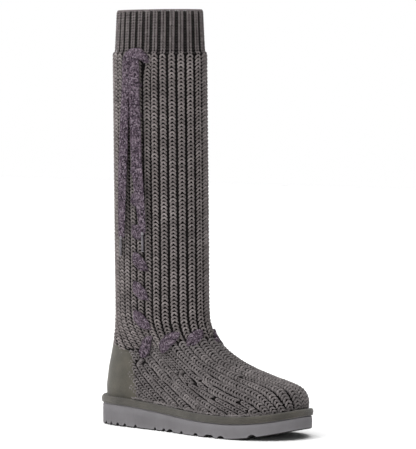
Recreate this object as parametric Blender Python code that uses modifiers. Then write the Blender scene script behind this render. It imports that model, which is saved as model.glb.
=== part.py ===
"""A right knee-high boot: a chunky rib-knit upper with a ribbed cuff, a suede heel counter,
a suede-wrapped welt, a foam outsole with toe spring, and a flat lace that is woven down the
outer side and round the ankle, with two free ends that hang from below the cuff.

While it is modelled, x runs from the back of the heel to the toe, y to the wearer's left,
which is the inner side of a right boot, and z up from the floor. An empty carries every
piece, so that the middle of the welt ends up over the origin. All sizes are in metres.
"""

import math

import bmesh
import bpy
import numpy as np
from mathutils import Vector

# Lengths that set the last and the shaft
FOOT_LENGTH = 0.266
BALL_WIDTH = 0.091
ANKLE_RISE = 0.096
BOOT_HEIGHT = 0.4735
SHAFT_DEPTH = 0.124
SHAFT_WIDTH = 0.078
SHAFT_SET = 0.0105
SHAFT_LEAN = 0.0035
CUFF_HEIGHT = 0.049
CUFF_STEP = 0.0022
CUFF_TAPER = 0.0022

# Wall and knit
WALL = 0.0030
RIB_DEPTH = 0.0024
CUFF_RIB_DEPTH = 0.0014
RIM_ROUND = 0.0015
SHAFT_RIBS = 30
FOOT_RIBS = 45
GAP = 0.0003

# Sole, welt and insole
HEEL_STACK = 0.0245
BALL_STACK = 0.0167
TOE_STACK = 0.0140
TOE_SPRING = 0.0115
HEEL_BEVEL = 0.0025
SOLE_MARGIN = 0.0052
SOLE_EDGE = 0.0012
WELT_MARGIN = 0.0065
WELT_HEIGHT = 0.0082
WELT_ROUND = 0.0022
INSOLE_THICKNESS = 0.0070
INSOLE_CLEAR = 0.0008
TREAD_DEPTH = 0.0022

# Heel counter
COUNTER_THICKNESS = 0.0020
COUNTER_SINK = 0.0003
COUNTER_BACK_HEIGHT = 0.103
COUNTER_CORNER_HEIGHT = 0.085
COUNTER_CORNER_REACH = 0.050
COUNTER_FOOT_REACH = 0.063

# Lace
LACE_WIDTH = 0.0115
LACE_SQUEEZE = 0.60
LACE_BEND = 0.40
LACE_THICKNESS = 0.0036
LACE_NECK = 0.0048
LACE_HOLE = 0.0070
LACE_ARCH = 0.0008
LACE_CLEAR = 0.0006
LACE_INSIDE_CLEAR = 0.0015
DRILL_PAST = 0.0014
SIDE_STITCH_PITCH = 0.0336
SIDE_STITCH_DROP = 0.017
SIDE_STITCH_REACH = 0.018
SIDE_TOP_DROP = 0.033
SIDE_FOOT_RISE = 0.014
ANKLE_LINE = 0.104
CORD_DIAMETER = 0.0044
AGLET_LENGTH = 0.0220
AGLET_DIAMETER = 0.0036

# Mesh fineness of the loft
COLUMNS = 90
INNER_COLUMNS = 30
FOOT_ROWS = 16
SHAFT_ROWS = 5

# The footprint of the last, from heel to toe: the place along it as a share of its length,
# then how far the outer and the inner edge lie from the heel's axis as shares of BALL_WIDTH.
FOOTPRINT = (
    # along, outer, inner
    (0.000, 0.000, 0.000),
    (0.045, 0.270, 0.270),
    (0.130, 0.352, 0.352),
    (0.250, 0.372, 0.362),
    (0.420, 0.408, 0.345),
    (0.580, 0.480, 0.412),
    (0.700, 0.508, 0.480),
    (0.820, 0.468, 0.492),
    (0.920, 0.330, 0.425),
    (0.975, 0.160, 0.290),
    (1.000, -0.085, 0.085),
)

# Sections of the foot from the feather line up to the shaft. Rises are shares of the way
# from the welt's top to ANKLE_RISE, the back set is a share of SHAFT_SET, the front reach
# a share of the way from the shaft's front to the toe, the width a share of the footprint's,
# round says how far the section has turned from the footprint into the shaft's ellipse, and
# follow how far it still follows the slope of the sole.
FOOT_SECTIONS = (
    # back rise, front rise, back set, front reach, width, round, follow
    (0.000, 0.000, 0.00, 1.000, 1.000, 0.00, 1.0),
    (0.130, 0.120, -0.05, 1.000, 1.010, 0.00, 1.0),
    (0.250, 0.228, 0.05, 0.970, 0.985, 0.02, 1.0),
    (0.370, 0.303, 0.15, 0.910, 0.940, 0.05, 0.9),
    (0.480, 0.362, 0.30, 0.810, 0.890, 0.10, 0.8),
    (0.580, 0.420, 0.45, 0.665, 0.845, 0.20, 0.7),
    (0.680, 0.485, 0.60, 0.495, 0.820, 0.34, 0.6),
    (0.775, 0.570, 0.72, 0.335, 0.800, 0.50, 0.5),
    (0.865, 0.675, 0.84, 0.195, 0.790, 0.66, 0.4),
    (0.950, 0.805, 0.93, 0.088, 0.790, 0.80, 0.3),
    (1.040, 0.955, 0.98, 0.022, 0.800, 0.92, 0.1),
)

# How the knit's wales flow from the ankle to the welt: the share of the half section from
# back to front where a wale starts, and the share where it ends.
WALE_FLOW = (
    # ankle, welt
    (0.00, 0.00),
    (0.30, 0.17),
    (0.42, 0.30),
    (0.50, 0.41),
    (0.60, 0.58),
    (0.70, 0.76),
    (0.77, 0.86),
    (0.87, 0.94),
    (1.00, 1.00),
)

# Grooves across the tread, from heel to toe: the middle as a share of the sole's length,
# the width in shares of the same length, and the skew in degrees.
TREAD_GROOVES = (
    # along, width, skew
    (0.055, 0.010, 10),
    (0.090, 0.010, 10),
    (0.130, 0.016, 10),
    (0.215, 0.014, -8),
    (0.275, 0.014, -8),
    (0.345, 0.012, 8),
    (0.395, 0.016, 8),
    (0.470, 0.030, -6),
    (0.540, 0.018, -6),
    (0.585, 0.022, 6),
    (0.650, 0.030, 6),
    (0.705, 0.030, -6),
    (0.755, 0.026, -6),
    (0.850, 0.026, 6),
)

# The lace's bars round the ankle, from the outer side over the front to the inner side.
# Each bar's ends are shares of the half section from back to front, and heights as shares
# of ANKLE_LINE.
ANKLE_STITCHES = (
    # inner side, start share, start height, end share, end height
    (False, 0.315, 0.785, 0.530, 1.005),
    (False, 0.540, 0.862, 0.772, 1.062),
    (False, 0.802, 0.950, 0.943, 1.086),
    (True, 0.945, 0.950, 0.800, 1.086),
    (True, 0.770, 0.872, 0.560, 1.050),
    (True, 0.525, 0.800, 0.330, 0.990),
)

# The lace's section, as shares of half its width and of half its thickness
LACE_SECTION = ((1, 0), (0.7, 1), (-0.7, 1), (-1, 0), (-0.7, -1), (0.7, -1))

# The free ends of the lace, from where each comes out of the wall to where its aglet
# starts, as (x, y, z) points from the middle of the shaft's outer side at the cuff's edge.
LACE_ENDS = {
    "rear": (
        (0.0095, 0.0060, -0.0055),
        (0.0095, -0.0004, -0.0050),
        (0.0088, -0.0044, -0.0015),
        (0.0060, -0.0059, 0.0030),
        (0.0010, -0.0062, 0.0055),
        (-0.0045, -0.0064, 0.0058),
        (-0.0100, -0.0062, 0.0042),
        (-0.0140, -0.0058, 0.0005),
        (-0.0160, -0.0054, -0.0050),
        (-0.0167, -0.0050, -0.0130),
        (-0.0171, -0.0047, -0.0250),
        (-0.0177, -0.0045, -0.0410),
        (-0.0187, -0.0043, -0.0610),
        (-0.0199, -0.0041, -0.0830),
        (-0.0211, -0.0039, -0.1050),
        (-0.0223, -0.0037, -0.1270),
        (-0.0233, -0.0035, -0.1480),
        (-0.0241, -0.0033, -0.1690),
        (-0.0247, -0.0031, -0.1890),
        (-0.0251, -0.0030, -0.2080),
    ),
    "front": (
        (-0.0035, 0.0060, -0.0065),
        (-0.0035, -0.0010, -0.0068),
        (-0.0030, -0.0048, -0.0090),
        (-0.0026, -0.0070, -0.0140),
        (-0.0023, -0.0078, -0.0220),
        (-0.0022, -0.0080, -0.0330),
        (-0.0016, -0.0080, -0.0490),
        (-0.0006, -0.0080, -0.0680),
        (0.0001, -0.0080, -0.0880),
        (0.0009, -0.0080, -0.1080),
        (0.0022, -0.0080, -0.1270),
        (0.0041, -0.0080, -0.1460),
        (0.0063, -0.0080, -0.1650),
        (0.0085, -0.0078, -0.1830),
        (0.0107, -0.0076, -0.2020),
    ),
}

MATERIALS = {
    # name: colour, roughness, metallic
    "rib_knit": ((0.105, 0.093, 0.092), 0.95, 0.0),
    "suede": ((0.130, 0.122, 0.104), 0.95, 0.0),
    "foam": ((0.200, 0.190, 0.195), 0.75, 0.0),
    "fleece": ((0.180, 0.165, 0.155), 1.00, 0.0),
    "chenille": ((0.115, 0.085, 0.110), 1.00, 0.0),
    "gunmetal": ((0.180, 0.175, 0.185), 0.30, 1.0),
}


def smooth(places, values, at):
    """A smooth curve through (place, value) pairs, read at one place or at many."""
    places = np.asarray(places, float)
    values = np.asarray(values, float)
    slopes = np.gradient(values, places)
    at = np.clip(at, places[0], places[-1])
    span = np.clip(np.searchsorted(places, at, side="right") - 1, 0, len(places) - 2)
    width = places[span + 1] - places[span]
    t = (at - places[span]) / width
    return (
        values[span] * (1 + 2 * t) * (1 - t) ** 2
        + slopes[span] * width * t * (1 - t) ** 2
        + values[span + 1] * t * t * (3 - 2 * t)
        + slopes[span + 1] * width * t * t * (t - 1)
    )


def ease(t):
    """0 to 1 with a soft start and end."""
    t = np.clip(t, 0.0, 1.0)
    return t * t * (3 - 2 * t)


# The last and the sole

SOLE_LENGTH = FOOT_LENGTH + 2 * SOLE_MARGIN
TOE_BREAK = 0.74
HEEL_BREAK = 0.05


def sole_share(x):
    return np.clip((np.asarray(x, float) + SOLE_MARGIN) / SOLE_LENGTH, 0.0, 1.0)


def sole_bottom(x):
    """Height of the tread: flat under heel and ball, rising into the toe spring."""
    share = sole_share(x)
    toe = np.clip((share - TOE_BREAK) / (1 - TOE_BREAK), 0, 1)
    heel = np.clip(1 - share / HEEL_BREAK, 0, 1)
    return TOE_SPRING * toe**1.7 + HEEL_BEVEL * heel**2


def sole_top(x):
    """Height of the sole's top, a wedge that is thick at the heel and thin at the ball."""
    share = sole_share(x)
    ball = BALL_STACK + (HEEL_STACK - BALL_STACK) * (1 - ease((share - 0.12) / 0.56))
    toe = ease((share - TOE_BREAK) / (1 - TOE_BREAK))
    spring = TOE_SPRING * np.clip((share - TOE_BREAK) / (1 - TOE_BREAK), 0, 1) ** 1.7
    return spring + ball + (TOE_STACK - BALL_STACK) * toe


def footprint_edge(share, inner):
    """How far the footprint's edge lies from the axis at a share of its length."""
    along = np.array([row[0] for row in FOOTPRINT])
    edge = np.array([row[2] if inner else row[1] for row in FOOTPRINT])
    turn = np.arccos(1 - 2 * along)
    return BALL_WIDTH * smooth(turn, edge, np.arccos(1 - 2 * np.clip(share, 0, 1)))


def sections():
    """All sections from the sole up to the cuff, one row each, as plain numbers."""
    rise = ANKLE_RISE - WELT_HEIGHT
    reach = FOOT_LENGTH - SHAFT_SET - SHAFT_DEPTH
    rows = []
    for back, front, back_set, front_reach, width, turned, follow in FOOT_SECTIONS:
        rows.append(
            (
                WELT_HEIGHT + back * rise,
                WELT_HEIGHT + front * rise,
                back_set * SHAFT_SET,
                FOOT_LENGTH - (1 - front_reach) * reach,
                width,
                turned,
                follow,
            )
        )
    rows.insert(0, (GAP,) * 2 + rows[0][2:])
    start = 1.18 * ANKLE_RISE
    top = BOOT_HEIGHT - CUFF_HEIGHT - HEEL_STACK
    for n in range(SHAFT_ROWS):
        share = n / (SHAFT_ROWS - 1)
        height = start + (top - start) * share
        back = SHAFT_SET - SHAFT_LEAN * share
        rows.append((height, height, back, back + SHAFT_DEPTH, 0.8, 1.0, 0.0))
    return np.array(rows)


SECTIONS = sections()
LAST_FOOT_SECTION = len(FOOT_SECTIONS)
TOP_SECTION = len(SECTIONS) - 1


def section_at(place):
    """The section at a whole or fractional place in the list."""
    index = np.arange(len(SECTIONS))
    return [float(smooth(index, column, place)) for column in SECTIONS.T]


def half_section(place, inner):
    """One side of a section from the back to the front, as closely spaced points."""
    back_rise, front_rise, back, front, width, turned, follow = section_at(place)
    turn = np.linspace(0, math.pi, 181)
    share = (1 - np.cos(turn)) / 2
    side = 1 if inner else -1
    ellipse = side * SHAFT_WIDTH / 2 * np.sin(turn)
    foot = side * width * footprint_edge(share, inner)
    x = back + (front - back) * share
    y = (1 - turned) * foot + turned * ellipse
    base = follow * sole_top(x) + (1 - follow) * HEEL_STACK
    z = base + back_rise + (front_rise - back_rise) * share
    return np.column_stack([x, y, z])


def at_shares(points, shares):
    """Points at these shares of a line's length, measured in plan."""
    steps = np.hypot(*np.diff(points[:, :2], axis=0).T)
    length = np.concatenate([[0], np.cumsum(steps)])
    return np.column_stack(
        [np.interp(np.asarray(shares) * length[-1], length, c) for c in points.T]
    )


def wale_shares(shares, place):
    """Where wales that start at these shares round the ankle lie on a lower section."""
    start, end = np.array(WALE_FLOW).T
    fallen = np.clip((LAST_FOOT_SECTION - place) / (LAST_FOOT_SECTION - 1), 0, 1)
    return shares + (smooth(start, end, shares) - shares) * fallen


def section_ring(place, columns):
    """A closed section: from the back along the outer side to the front, then back."""
    shares = wale_shares(np.linspace(0, 1, columns // 2 + 1), place)
    outer = at_shares(half_section(place, False), shares)
    inner = at_shares(half_section(place, True), shares)
    return np.vstack([outer[:-1], inner[:0:-1]])


def skin(places, columns):
    """Points and outward normals of the last's surface over a list of places."""
    grid = np.array([section_ring(place, columns) for place in places])
    along = np.roll(grid, -1, axis=1) - np.roll(grid, 1, axis=1)
    up = np.gradient(grid, axis=0)
    low = np.array(places) <= 1
    up[low] = (0, 0, 1)
    normals = np.cross(along, up)
    normals /= np.linalg.norm(normals, axis=2, keepdims=True)
    return grid, normals


def loft_places():
    """Places of the rows of the upper's mesh, closer over the foot than up the shaft."""
    foot = np.linspace(1, LAST_FOOT_SECTION + 1, FOOT_ROWS + 1)
    shaft = np.arange(LAST_FOOT_SECTION + 2, TOP_SECTION + 1)
    return [0.0, *foot, *shaft]


def point_on_skin(share, inner, height, stand_off=0.0):
    """A point on the last and its normal, by the share of the half section from back to
    front and by its height above the floor."""
    places = np.linspace(0, TOP_SECTION, 20 * TOP_SECTION + 1)
    column = np.array([at_shares(half_section(p, inner), [share])[0] for p in places])
    place = float(np.interp(height, column[:, 2], places))
    step = 0.02
    here = at_shares(half_section(place, inner), [share])[0]
    ends = at_shares(half_section(place, inner), [max(share - step, 0), min(share + step, 1)])
    low = at_shares(half_section(max(place - step, 0), inner), [share])[0]
    high = at_shares(half_section(min(place + step, TOP_SECTION), inner), [share])[0]
    normal = np.cross(ends[1] - ends[0], high - low)
    normal /= np.linalg.norm(normal) * (-1 if inner else 1)
    return here + stand_off * normal, normal


# Making objects


def new_collection(name, hidden=False):
    made = bpy.data.collections.new(name)
    bpy.context.scene.collection.children.link(made)
    made.hide_render = hidden
    return made


def material(name):
    colour, roughness, metallic = MATERIALS[name]
    made = bpy.data.materials.get(name) or bpy.data.materials.new(name)
    made.use_nodes = True
    shader = made.node_tree.nodes["Principled BSDF"]
    shader.inputs["Base Color"].default_value = (*colour, 1)
    shader.inputs["Roughness"].default_value = roughness
    shader.inputs["Metallic"].default_value = metallic
    made.diffuse_color = (*colour, 1)
    return made


def loft(name, rings, collection, caps=False):
    """A mesh through closed rings. Unlike rings have counts that divide each other. The
    last ring joins the first, unless caps close both ends."""
    bm = bmesh.new()
    made = [[bm.verts.new(p) for p in ring] for ring in rings]
    pairs = list(zip(made[:-1], made[1:]))
    if not caps:
        pairs.append((made[-1], made[0]))
    for low, high in pairs:
        few, many = (low, high) if len(low) <= len(high) else (high, low)
        each = len(many) // len(few)
        for n in range(len(few)):
            far = [many[(n * each + k) % len(many)] for k in range(each + 1)]
            bm.faces.new([few[(n + 1) % len(few)], few[n], *far])
    if caps:
        bm.faces.new(made[0])
        bm.faces.new(made[-1])
    bmesh.ops.triangulate(bm, faces=bm.faces[:])
    bmesh.ops.recalc_face_normals(bm, faces=bm.faces[:])
    mesh = bpy.data.meshes.new(name)
    bm.to_mesh(mesh)
    bm.free()
    obj = bpy.data.objects.new(name, mesh)
    collection.objects.link(obj)
    return obj


def boolean(obj, other, operation):
    """Applies a Boolean to a mesh object, so that its result can be cut again."""
    modifier = obj.modifiers.new("cut", "BOOLEAN")
    modifier.operation = operation
    modifier.object = other
    graph = bpy.context.evaluated_depsgraph_get()
    mesh = bpy.data.meshes.new_from_object(obj.evaluated_get(graph))
    obj.modifiers.clear()
    obj.data = mesh
    return obj


def finish_piece(obj, look, carrier, smooth_degrees=40):
    obj.data.materials.clear()
    obj.data.materials.append(material(look))
    obj.data.shade_smooth()
    obj.data.set_sharp_from_angle(angle=math.radians(smooth_degrees))
    obj.parent = carrier
    return obj


# Upper


def rib_valley(place):
    """How deep the surface lies below the ribs' crests, for each column of one row: in
    shares of the rib depth."""
    column = np.arange(COLUMNS)
    if place > LAST_FOOT_SECTION + 0.9:
        return (column % (COLUMNS // SHAFT_RIBS) == 0).astype(float)
    fade = float(ease(place - 1) * ease((LAST_FOOT_SECTION + 1 - place) / 1.5))
    return fade * (column % (COLUMNS // FOOT_RIBS) == 0)


def cuff_rings():
    """The ribbed cuff's outer rings, narrower than the shaft, and its rolled rim."""
    base, normals = skin([TOP_SECTION - 1, TOP_SECTION], COLUMNS)
    base, normals = base[-1], normals[-1] * (1, 1, 0)
    valley = rib_valley(TOP_SECTION)
    start = BOOT_HEIGHT - CUFF_HEIGHT
    rows = []
    for share in (0.0, 0.5, 1.0):
        inset = CUFF_STEP + CUFF_TAPER * share
        ring = base - normals * (inset + CUFF_RIB_DEPTH * valley)[:, None]
        ring[:, 2] = start + GAP + (CUFF_HEIGHT - GAP - RIM_ROUND) * share
        rows.append(ring)
    rim = base - normals * (CUFF_STEP + CUFF_TAPER + CUFF_RIB_DEPTH + RIM_ROUND / 2)
    rim[:, 2] = BOOT_HEIGHT
    return [*rows, rim]


def lining_rings():
    """The inside of the upper, from the collar down to the sole."""
    places = [p for n, p in enumerate(loft_places()) if n % 2 == 0 or p > LAST_FOOT_SECTION]
    grid, normals = skin(places, INNER_COLUMNS)
    rings = list(grid - normals * (RIB_DEPTH + WALL))
    rings[0][:, 2] = grid[0][:, 2]
    cuff_inset = CUFF_STEP + CUFF_TAPER + CUFF_RIB_DEPTH + WALL
    top = grid[-1] - normals[-1] * (1, 1, 0) * cuff_inset
    middle = (rings[-1] + top) / 2
    middle[:, 2] = BOOT_HEIGHT - CUFF_HEIGHT
    top[:, 2] = BOOT_HEIGHT
    return [top, middle, *rings[::-1]]


def make_upper(collection):
    places = loft_places()
    grid, normals = skin(places, COLUMNS)
    rings = []
    for place, points, out in zip(places, grid, normals):
        rings.append(points - out * (RIB_DEPTH * rib_valley(place))[:, None])
    return loft("upper", [*rings, *cuff_rings(), *lining_rings()], collection)


# Heel counter


def last_form(name, stand_off, collection, low=0.0):
    """The last as a closed solid up to the lower shaft, grown or shrunk by a stand-off."""
    places = loft_places()[: FOOT_ROWS + 3]
    grid, normals = skin(places, COLUMNS // 2)
    rings = grid + normals * stand_off
    rings[0][:, 2] = grid[0][:, 2] - low
    return loft(name, list(rings), collection, caps=True)


def side_prism(name, outline, half_width, collection):
    """A side-view outline of (x, z) points drawn straight across the boot."""
    rings = [[(x, y, z) for x, z in outline] for y in (-half_width, half_width)]
    return loft(name, rings, collection, caps=True)


def counter_outline(shrink):
    """The counter seen from the side, with its open edges drawn in by shrink."""
    behind = -2 * WELT_MARGIN
    return (
        (behind, -GAP),
        (COUNTER_FOOT_REACH + 0.004 - shrink, -GAP),
        (COUNTER_FOOT_REACH - shrink, HEEL_STACK + WELT_HEIGHT),
        (COUNTER_CORNER_REACH - shrink, COUNTER_CORNER_HEIGHT - shrink),
        (COUNTER_CORNER_REACH * 0.4, COUNTER_BACK_HEIGHT * 0.935 - shrink),
        (behind, COUNTER_BACK_HEIGHT - shrink),
    )


def make_heel_counter(upper, collection, cutters):
    """The counter is cut between two forms of the last, and the upper steps in under it."""
    floor = COUNTER_SINK + COUNTER_THICKNESS
    recess = side_prism("recess", counter_outline(0.0), BALL_WIDTH, cutters)
    boolean(recess, last_form("recess_core", -floor - GAP, cutters, GAP), "DIFFERENCE")
    boolean(upper, recess, "DIFFERENCE")
    counter = side_prism("heel_counter", counter_outline(GAP), BALL_WIDTH, collection)
    boolean(counter, last_form("counter_face", -COUNTER_SINK, cutters), "INTERSECT")
    boolean(counter, last_form("counter_back", -floor, cutters, GAP), "DIFFERENCE")
    return counter


# Sole, welt and insole


def offset_outline(margin, columns, place=1):
    """The footprint's outline grown by a margin, as (x, y) points."""
    grid, normals = skin([place, place + 0.5], columns)
    out = normals[0] * (1, 1, 0)
    out /= np.linalg.norm(out, axis=1, keepdims=True)
    return (grid[0] + out * margin)[:, :2]


def plate(name, levels, collection):
    """A closed plate from (outline, heights) levels, lofted across from heel to toe, so
    that its faces follow a height that changes along the boot."""
    columns = len(levels[0][0])
    half = columns // 2
    strips = []
    for n in range(1, half):
        near = [(*outline[n], height[n]) for outline, height in levels]
        far = [(*outline[-n], height[-n]) for outline, height in levels]
        strips.append([*near, *far[::-1]])
    heel = [(*outline[0], height[0]) for outline, height in levels]
    toe = [(*outline[half], height[half]) for outline, height in levels]
    bm = bmesh.new()
    rings = [[bm.verts.new(p) for p in strip] for strip in strips]
    size = len(rings[0])
    for low, high in zip(rings[:-1], rings[1:]):
        for k in range(size):
            bm.faces.new([low[k], low[(k + 1) % size], high[(k + 1) % size], high[k]])
    for tip, ring in ((heel, rings[0]), (toe, rings[-1])):
        tips = [bm.verts.new(p) for p in tip]
        for k in range(len(tips) - 1):
            bm.faces.new([tips[k], tips[k + 1], ring[k + 1], ring[k]])
            bm.faces.new([tips[k + 1], tips[k], ring[-1 - k], ring[-2 - k]])
        bm.faces.new([tips[0], ring[0], ring[-1]])
        bm.faces.new([tips[-1], ring[len(tips) - 1], ring[len(tips)]])
    bmesh.ops.triangulate(bm, faces=bm.faces[:])
    bmesh.ops.recalc_face_normals(bm, faces=bm.faces[:])
    mesh = bpy.data.meshes.new(name)
    bm.to_mesh(mesh)
    bm.free()
    obj = bpy.data.objects.new(name, mesh)
    collection.objects.link(obj)
    return obj


SOLE_COLUMNS = 80


def make_outsole(collection, cutters):
    side = offset_outline(SOLE_MARGIN, SOLE_COLUMNS)
    foot = offset_outline(SOLE_MARGIN - SOLE_EDGE, SOLE_COLUMNS)
    levels = (
        (foot, sole_bottom(foot[:, 0])),
        (side, sole_bottom(side[:, 0]) + SOLE_EDGE),
        (side, sole_top(side[:, 0])),
    )
    outsole = plate("outsole", levels, collection)
    for n, (along, width, skew) in enumerate(TREAD_GROOVES):
        x = along * SOLE_LENGTH - SOLE_MARGIN
        bpy.ops.mesh.primitive_cube_add(size=1)
        groove = bpy.context.object
        groove.name = f"groove_{n}"
        groove.scale = (width * SOLE_LENGTH, 2 * BALL_WIDTH, 2 * TREAD_DEPTH)
        groove.rotation_euler = (0, 0, math.radians(skew))
        groove.location = (x, 0, float(sole_bottom(x)))
        move_to(groove, cutters)
        boolean(outsole, groove, "DIFFERENCE")
    return outsole


def make_welt(collection):
    """A suede-wrapped band on the sole's edge, round outside, that holds the upper in."""
    section = (
        # margin, height
        (GAP, GAP),
        (WELT_MARGIN - 0.5 * WELT_ROUND, GAP),
        (WELT_MARGIN, WELT_ROUND),
        (WELT_MARGIN, WELT_HEIGHT - WELT_ROUND),
        (WELT_MARGIN - 1.2 * WELT_ROUND, WELT_HEIGHT),
        (GAP, WELT_HEIGHT - 0.3 * WELT_ROUND),
    )
    rings = []
    for margin, height in section:
        outline = offset_outline(margin, COLUMNS)
        z = sole_top(outline[:, 0]) + height
        rings.append(np.column_stack([outline, z]))
    return loft("welt", rings, collection)


def make_insole(collection):
    outline = offset_outline(-(RIB_DEPTH + WALL + INSOLE_CLEAR), INNER_COLUMNS)
    base = sole_top(outline[:, 0])
    levels = ((outline, base + GAP), (outline, base + GAP + INSOLE_THICKNESS))
    return plate("insole", levels, collection)


def move_to(obj, collection):
    for old in list(obj.users_collection):
        old.objects.unlink(obj)
    collection.objects.link(obj)


# Lace


def outer_share(distance):
    """The share of the shaft's half section at a distance from its front, along it."""
    half = half_section(TOP_SECTION, False)
    length = np.hypot(*np.diff(half[:, :2], axis=0).T).sum()
    return 1 - distance / length


def side_share(offset):
    """The share of the outer half section at a distance in front of its middle."""
    return 0.5 + offset * (1 - outer_share(1.0))


def side_stitches():
    """The bars that show down the outer side: each runs down and forward."""
    back, front = side_share(-SIDE_STITCH_REACH / 2), side_share(SIDE_STITCH_REACH / 2)
    top = BOOT_HEIGHT - CUFF_HEIGHT - SIDE_TOP_DROP
    count = int((top - ANKLE_LINE - SIDE_FOOT_RISE) / SIDE_STITCH_PITCH) + 1
    stitches = []
    for n in range(count):
        height = top - n * SIDE_STITCH_PITCH
        half_drop = SIDE_STITCH_DROP / 2
        stitches.append(
            ((back, False, height + half_drop), (front, False, height - half_drop))
        )
    return stitches


def ankle_stitches():
    """The bars round the ankle: each climbs towards the side that the lace goes on to."""
    stitches = []
    for inner, start, low, end, high in ANKLE_STITCHES:
        stitches.append(((start, inner, low * ANKLE_LINE), (end, inner, high * ANKLE_LINE)))
    return stitches


def unit(vector):
    return vector / np.linalg.norm(vector)


def along_skin(run, normal):
    """A direction laid flat on the surface that has this normal."""
    return unit(run - normal * np.dot(run, normal))


def lace_stops(stitches):
    """Centres, run directions, surface normals and half sizes of the lace's sections:
    over each bar, down through the wall, along the inside and out again."""
    thick, neck = LACE_THICKNESS / 2, LACE_NECK / 2
    squeezed = LACE_SQUEEZE * LACE_WIDTH / 2
    outside = LACE_CLEAR + thick
    inside = RIB_DEPTH + WALL + LACE_INSIDE_CLEAR + thick
    bend = LACE_BEND * LACE_NECK
    turned = inside - thick - bend / 2
    lift = 1 - LACE_BEND / 2
    holes = []
    stops = []
    for start, end in stitches:
        (p, n_p), (q, n_q) = point_on_skin(*start), point_on_skin(*end)
        run_p, run_q = along_skin(q - p, n_p), along_skin(q - p, n_q)
        if holes:
            last, n_last = holes[-1]
            back_run, on_run = along_skin(p - last, n_last), along_skin(p - last, n_p)
            stops.append((last - n_last * turned, -n_last, back_run, neck, neck))
            under = last - n_last * inside + back_run * 2 * bend
            stops.append((under, back_run, n_last, neck, thick))
            under = p - n_p * inside - on_run * 2 * bend
            stops.append((under, on_run, n_p, neck, thick))
            stops.append((p - n_p * turned, n_p, -on_run, neck, neck))
        stops.append((p + n_p * GAP, n_p, -run_p, neck, neck))
        rise = p + n_p * outside * lift + run_p * bend
        stops.append((rise, unit(n_p + run_p), unit(n_p - run_p), squeezed, thick))
        for share in (1 / 3, 2 / 3):
            mix = tuple(a + (b - a) * share for a, b in zip(start, end))
            arch = LACE_ARCH * math.sin(math.pi * share)
            middle, normal = point_on_skin(mix[0], start[1], mix[2], outside + arch)
            run = along_skin(q - p, normal)
            stops.append((middle, run, normal, LACE_WIDTH / 2, thick))
        fall = q + n_q * outside * lift - run_q * bend
        stops.append((fall, unit(run_q - n_q), unit(n_q + run_q), squeezed, thick))
        stops.append((q + n_q * GAP, -n_q, run_q, neck, neck))
        holes += [(p, n_p), (q, n_q)]
    return stops, holes


def lace_ring(centre, run, normal, half_width, half_thickness):
    """A flat section of the lace, square to its run."""
    side = unit(np.cross(run, normal))
    up = unit(np.cross(side, run))
    ring = []
    for across, above in LACE_SECTION:
        ring.append(centre + side * across * half_width + up * above * half_thickness)
    return ring


def end_hole(route):
    """Where a free end of the lace comes out of the wall, and which way it points."""
    inner, outer = route[:2]
    return outer, unit(outer - inner)


def drill(upper, holes, cutters):
    """Cuts a small round hole through the wall at each point, along its normal."""
    bm = bmesh.new()
    for point, normal in holes:
        turn = Vector(normal).to_track_quat("Z", "Y").to_matrix().to_4x4()
        turn.translation = Vector(point - normal * (RIB_DEPTH + WALL) / 2)
        bmesh.ops.create_cone(
            bm,
            cap_ends=True,
            segments=8,
            radius1=LACE_HOLE / 2,
            radius2=LACE_HOLE / 2,
            depth=RIB_DEPTH + WALL + 2 * DRILL_PAST,
            matrix=turn,
        )
    mesh = bpy.data.meshes.new("lace_holes")
    bm.to_mesh(mesh)
    bm.free()
    drills = bpy.data.objects.new("lace_holes", mesh)
    cutters.objects.link(drills)
    boolean(upper, drills, "DIFFERENCE")


def make_lace(upper, collection, cutters):
    stops, holes = lace_stops([*side_stitches(), *ankle_stitches()])
    drill(upper, holes, cutters)
    return loft("lace", [lace_ring(*stop) for stop in stops], collection, caps=True)


def placed(route):
    """A free end's route in the boot's own frame."""
    start = (SHAFT_SET + SHAFT_DEPTH / 2, -SHAFT_WIDTH / 2, BOOT_HEIGHT - CUFF_HEIGHT)
    return np.array(route) + start


def smooth_route(points):
    """A smooth curve through a route's points, one point every two or so diameters."""
    length = np.concatenate([[0], np.cumsum(np.linalg.norm(np.diff(points, axis=0), axis=1))])
    count = int(length[-1] / (2.2 * CORD_DIAMETER)) + 1
    at = np.linspace(0, length[-1], count)
    return np.column_stack([smooth(length, column, at) for column in points.T])


def make_lace_end(name, route, collection):
    """A free end of the lace, as a tube along its route."""
    curve = bpy.data.curves.new(name, "CURVE")
    curve.dimensions = "3D"
    curve.bevel_depth = CORD_DIAMETER / 2
    curve.bevel_resolution = 2
    curve.use_fill_caps = True
    points = smooth_route(route)
    spline = curve.splines.new("POLY")
    spline.points.add(len(points) - 1)
    for point, place in zip(spline.points, points):
        point.co = (*place, 1)
    obj = bpy.data.objects.new(name, curve)
    collection.objects.link(obj)
    return obj


def make_aglet(name, route, collection):
    """The metal tube crimped on the lace's end, in line with the cord."""
    tip, before = Vector(route[-1]), Vector(route[-2])
    run = (tip - before).normalized()
    bpy.ops.mesh.primitive_cylinder_add(
        vertices=16, radius=AGLET_DIAMETER / 2, depth=AGLET_LENGTH
    )
    aglet = bpy.context.object
    aglet.name = name
    aglet.rotation_mode = "QUATERNION"
    aglet.rotation_quaternion = run.to_track_quat("Z", "Y")
    aglet.location = tip + run * (GAP + AGLET_LENGTH / 2)
    bevel = aglet.modifiers.new("rolled_rim", "BEVEL")
    bevel.width = AGLET_DIAMETER / 8
    bevel.segments = 2
    move_to(aglet, collection)
    return aglet


# The whole boot


def clear_scene():
    for obj in list(bpy.data.objects):
        bpy.data.objects.remove(obj, do_unlink=True)
    for old in list(bpy.data.collections):
        bpy.data.collections.remove(old)


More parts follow.
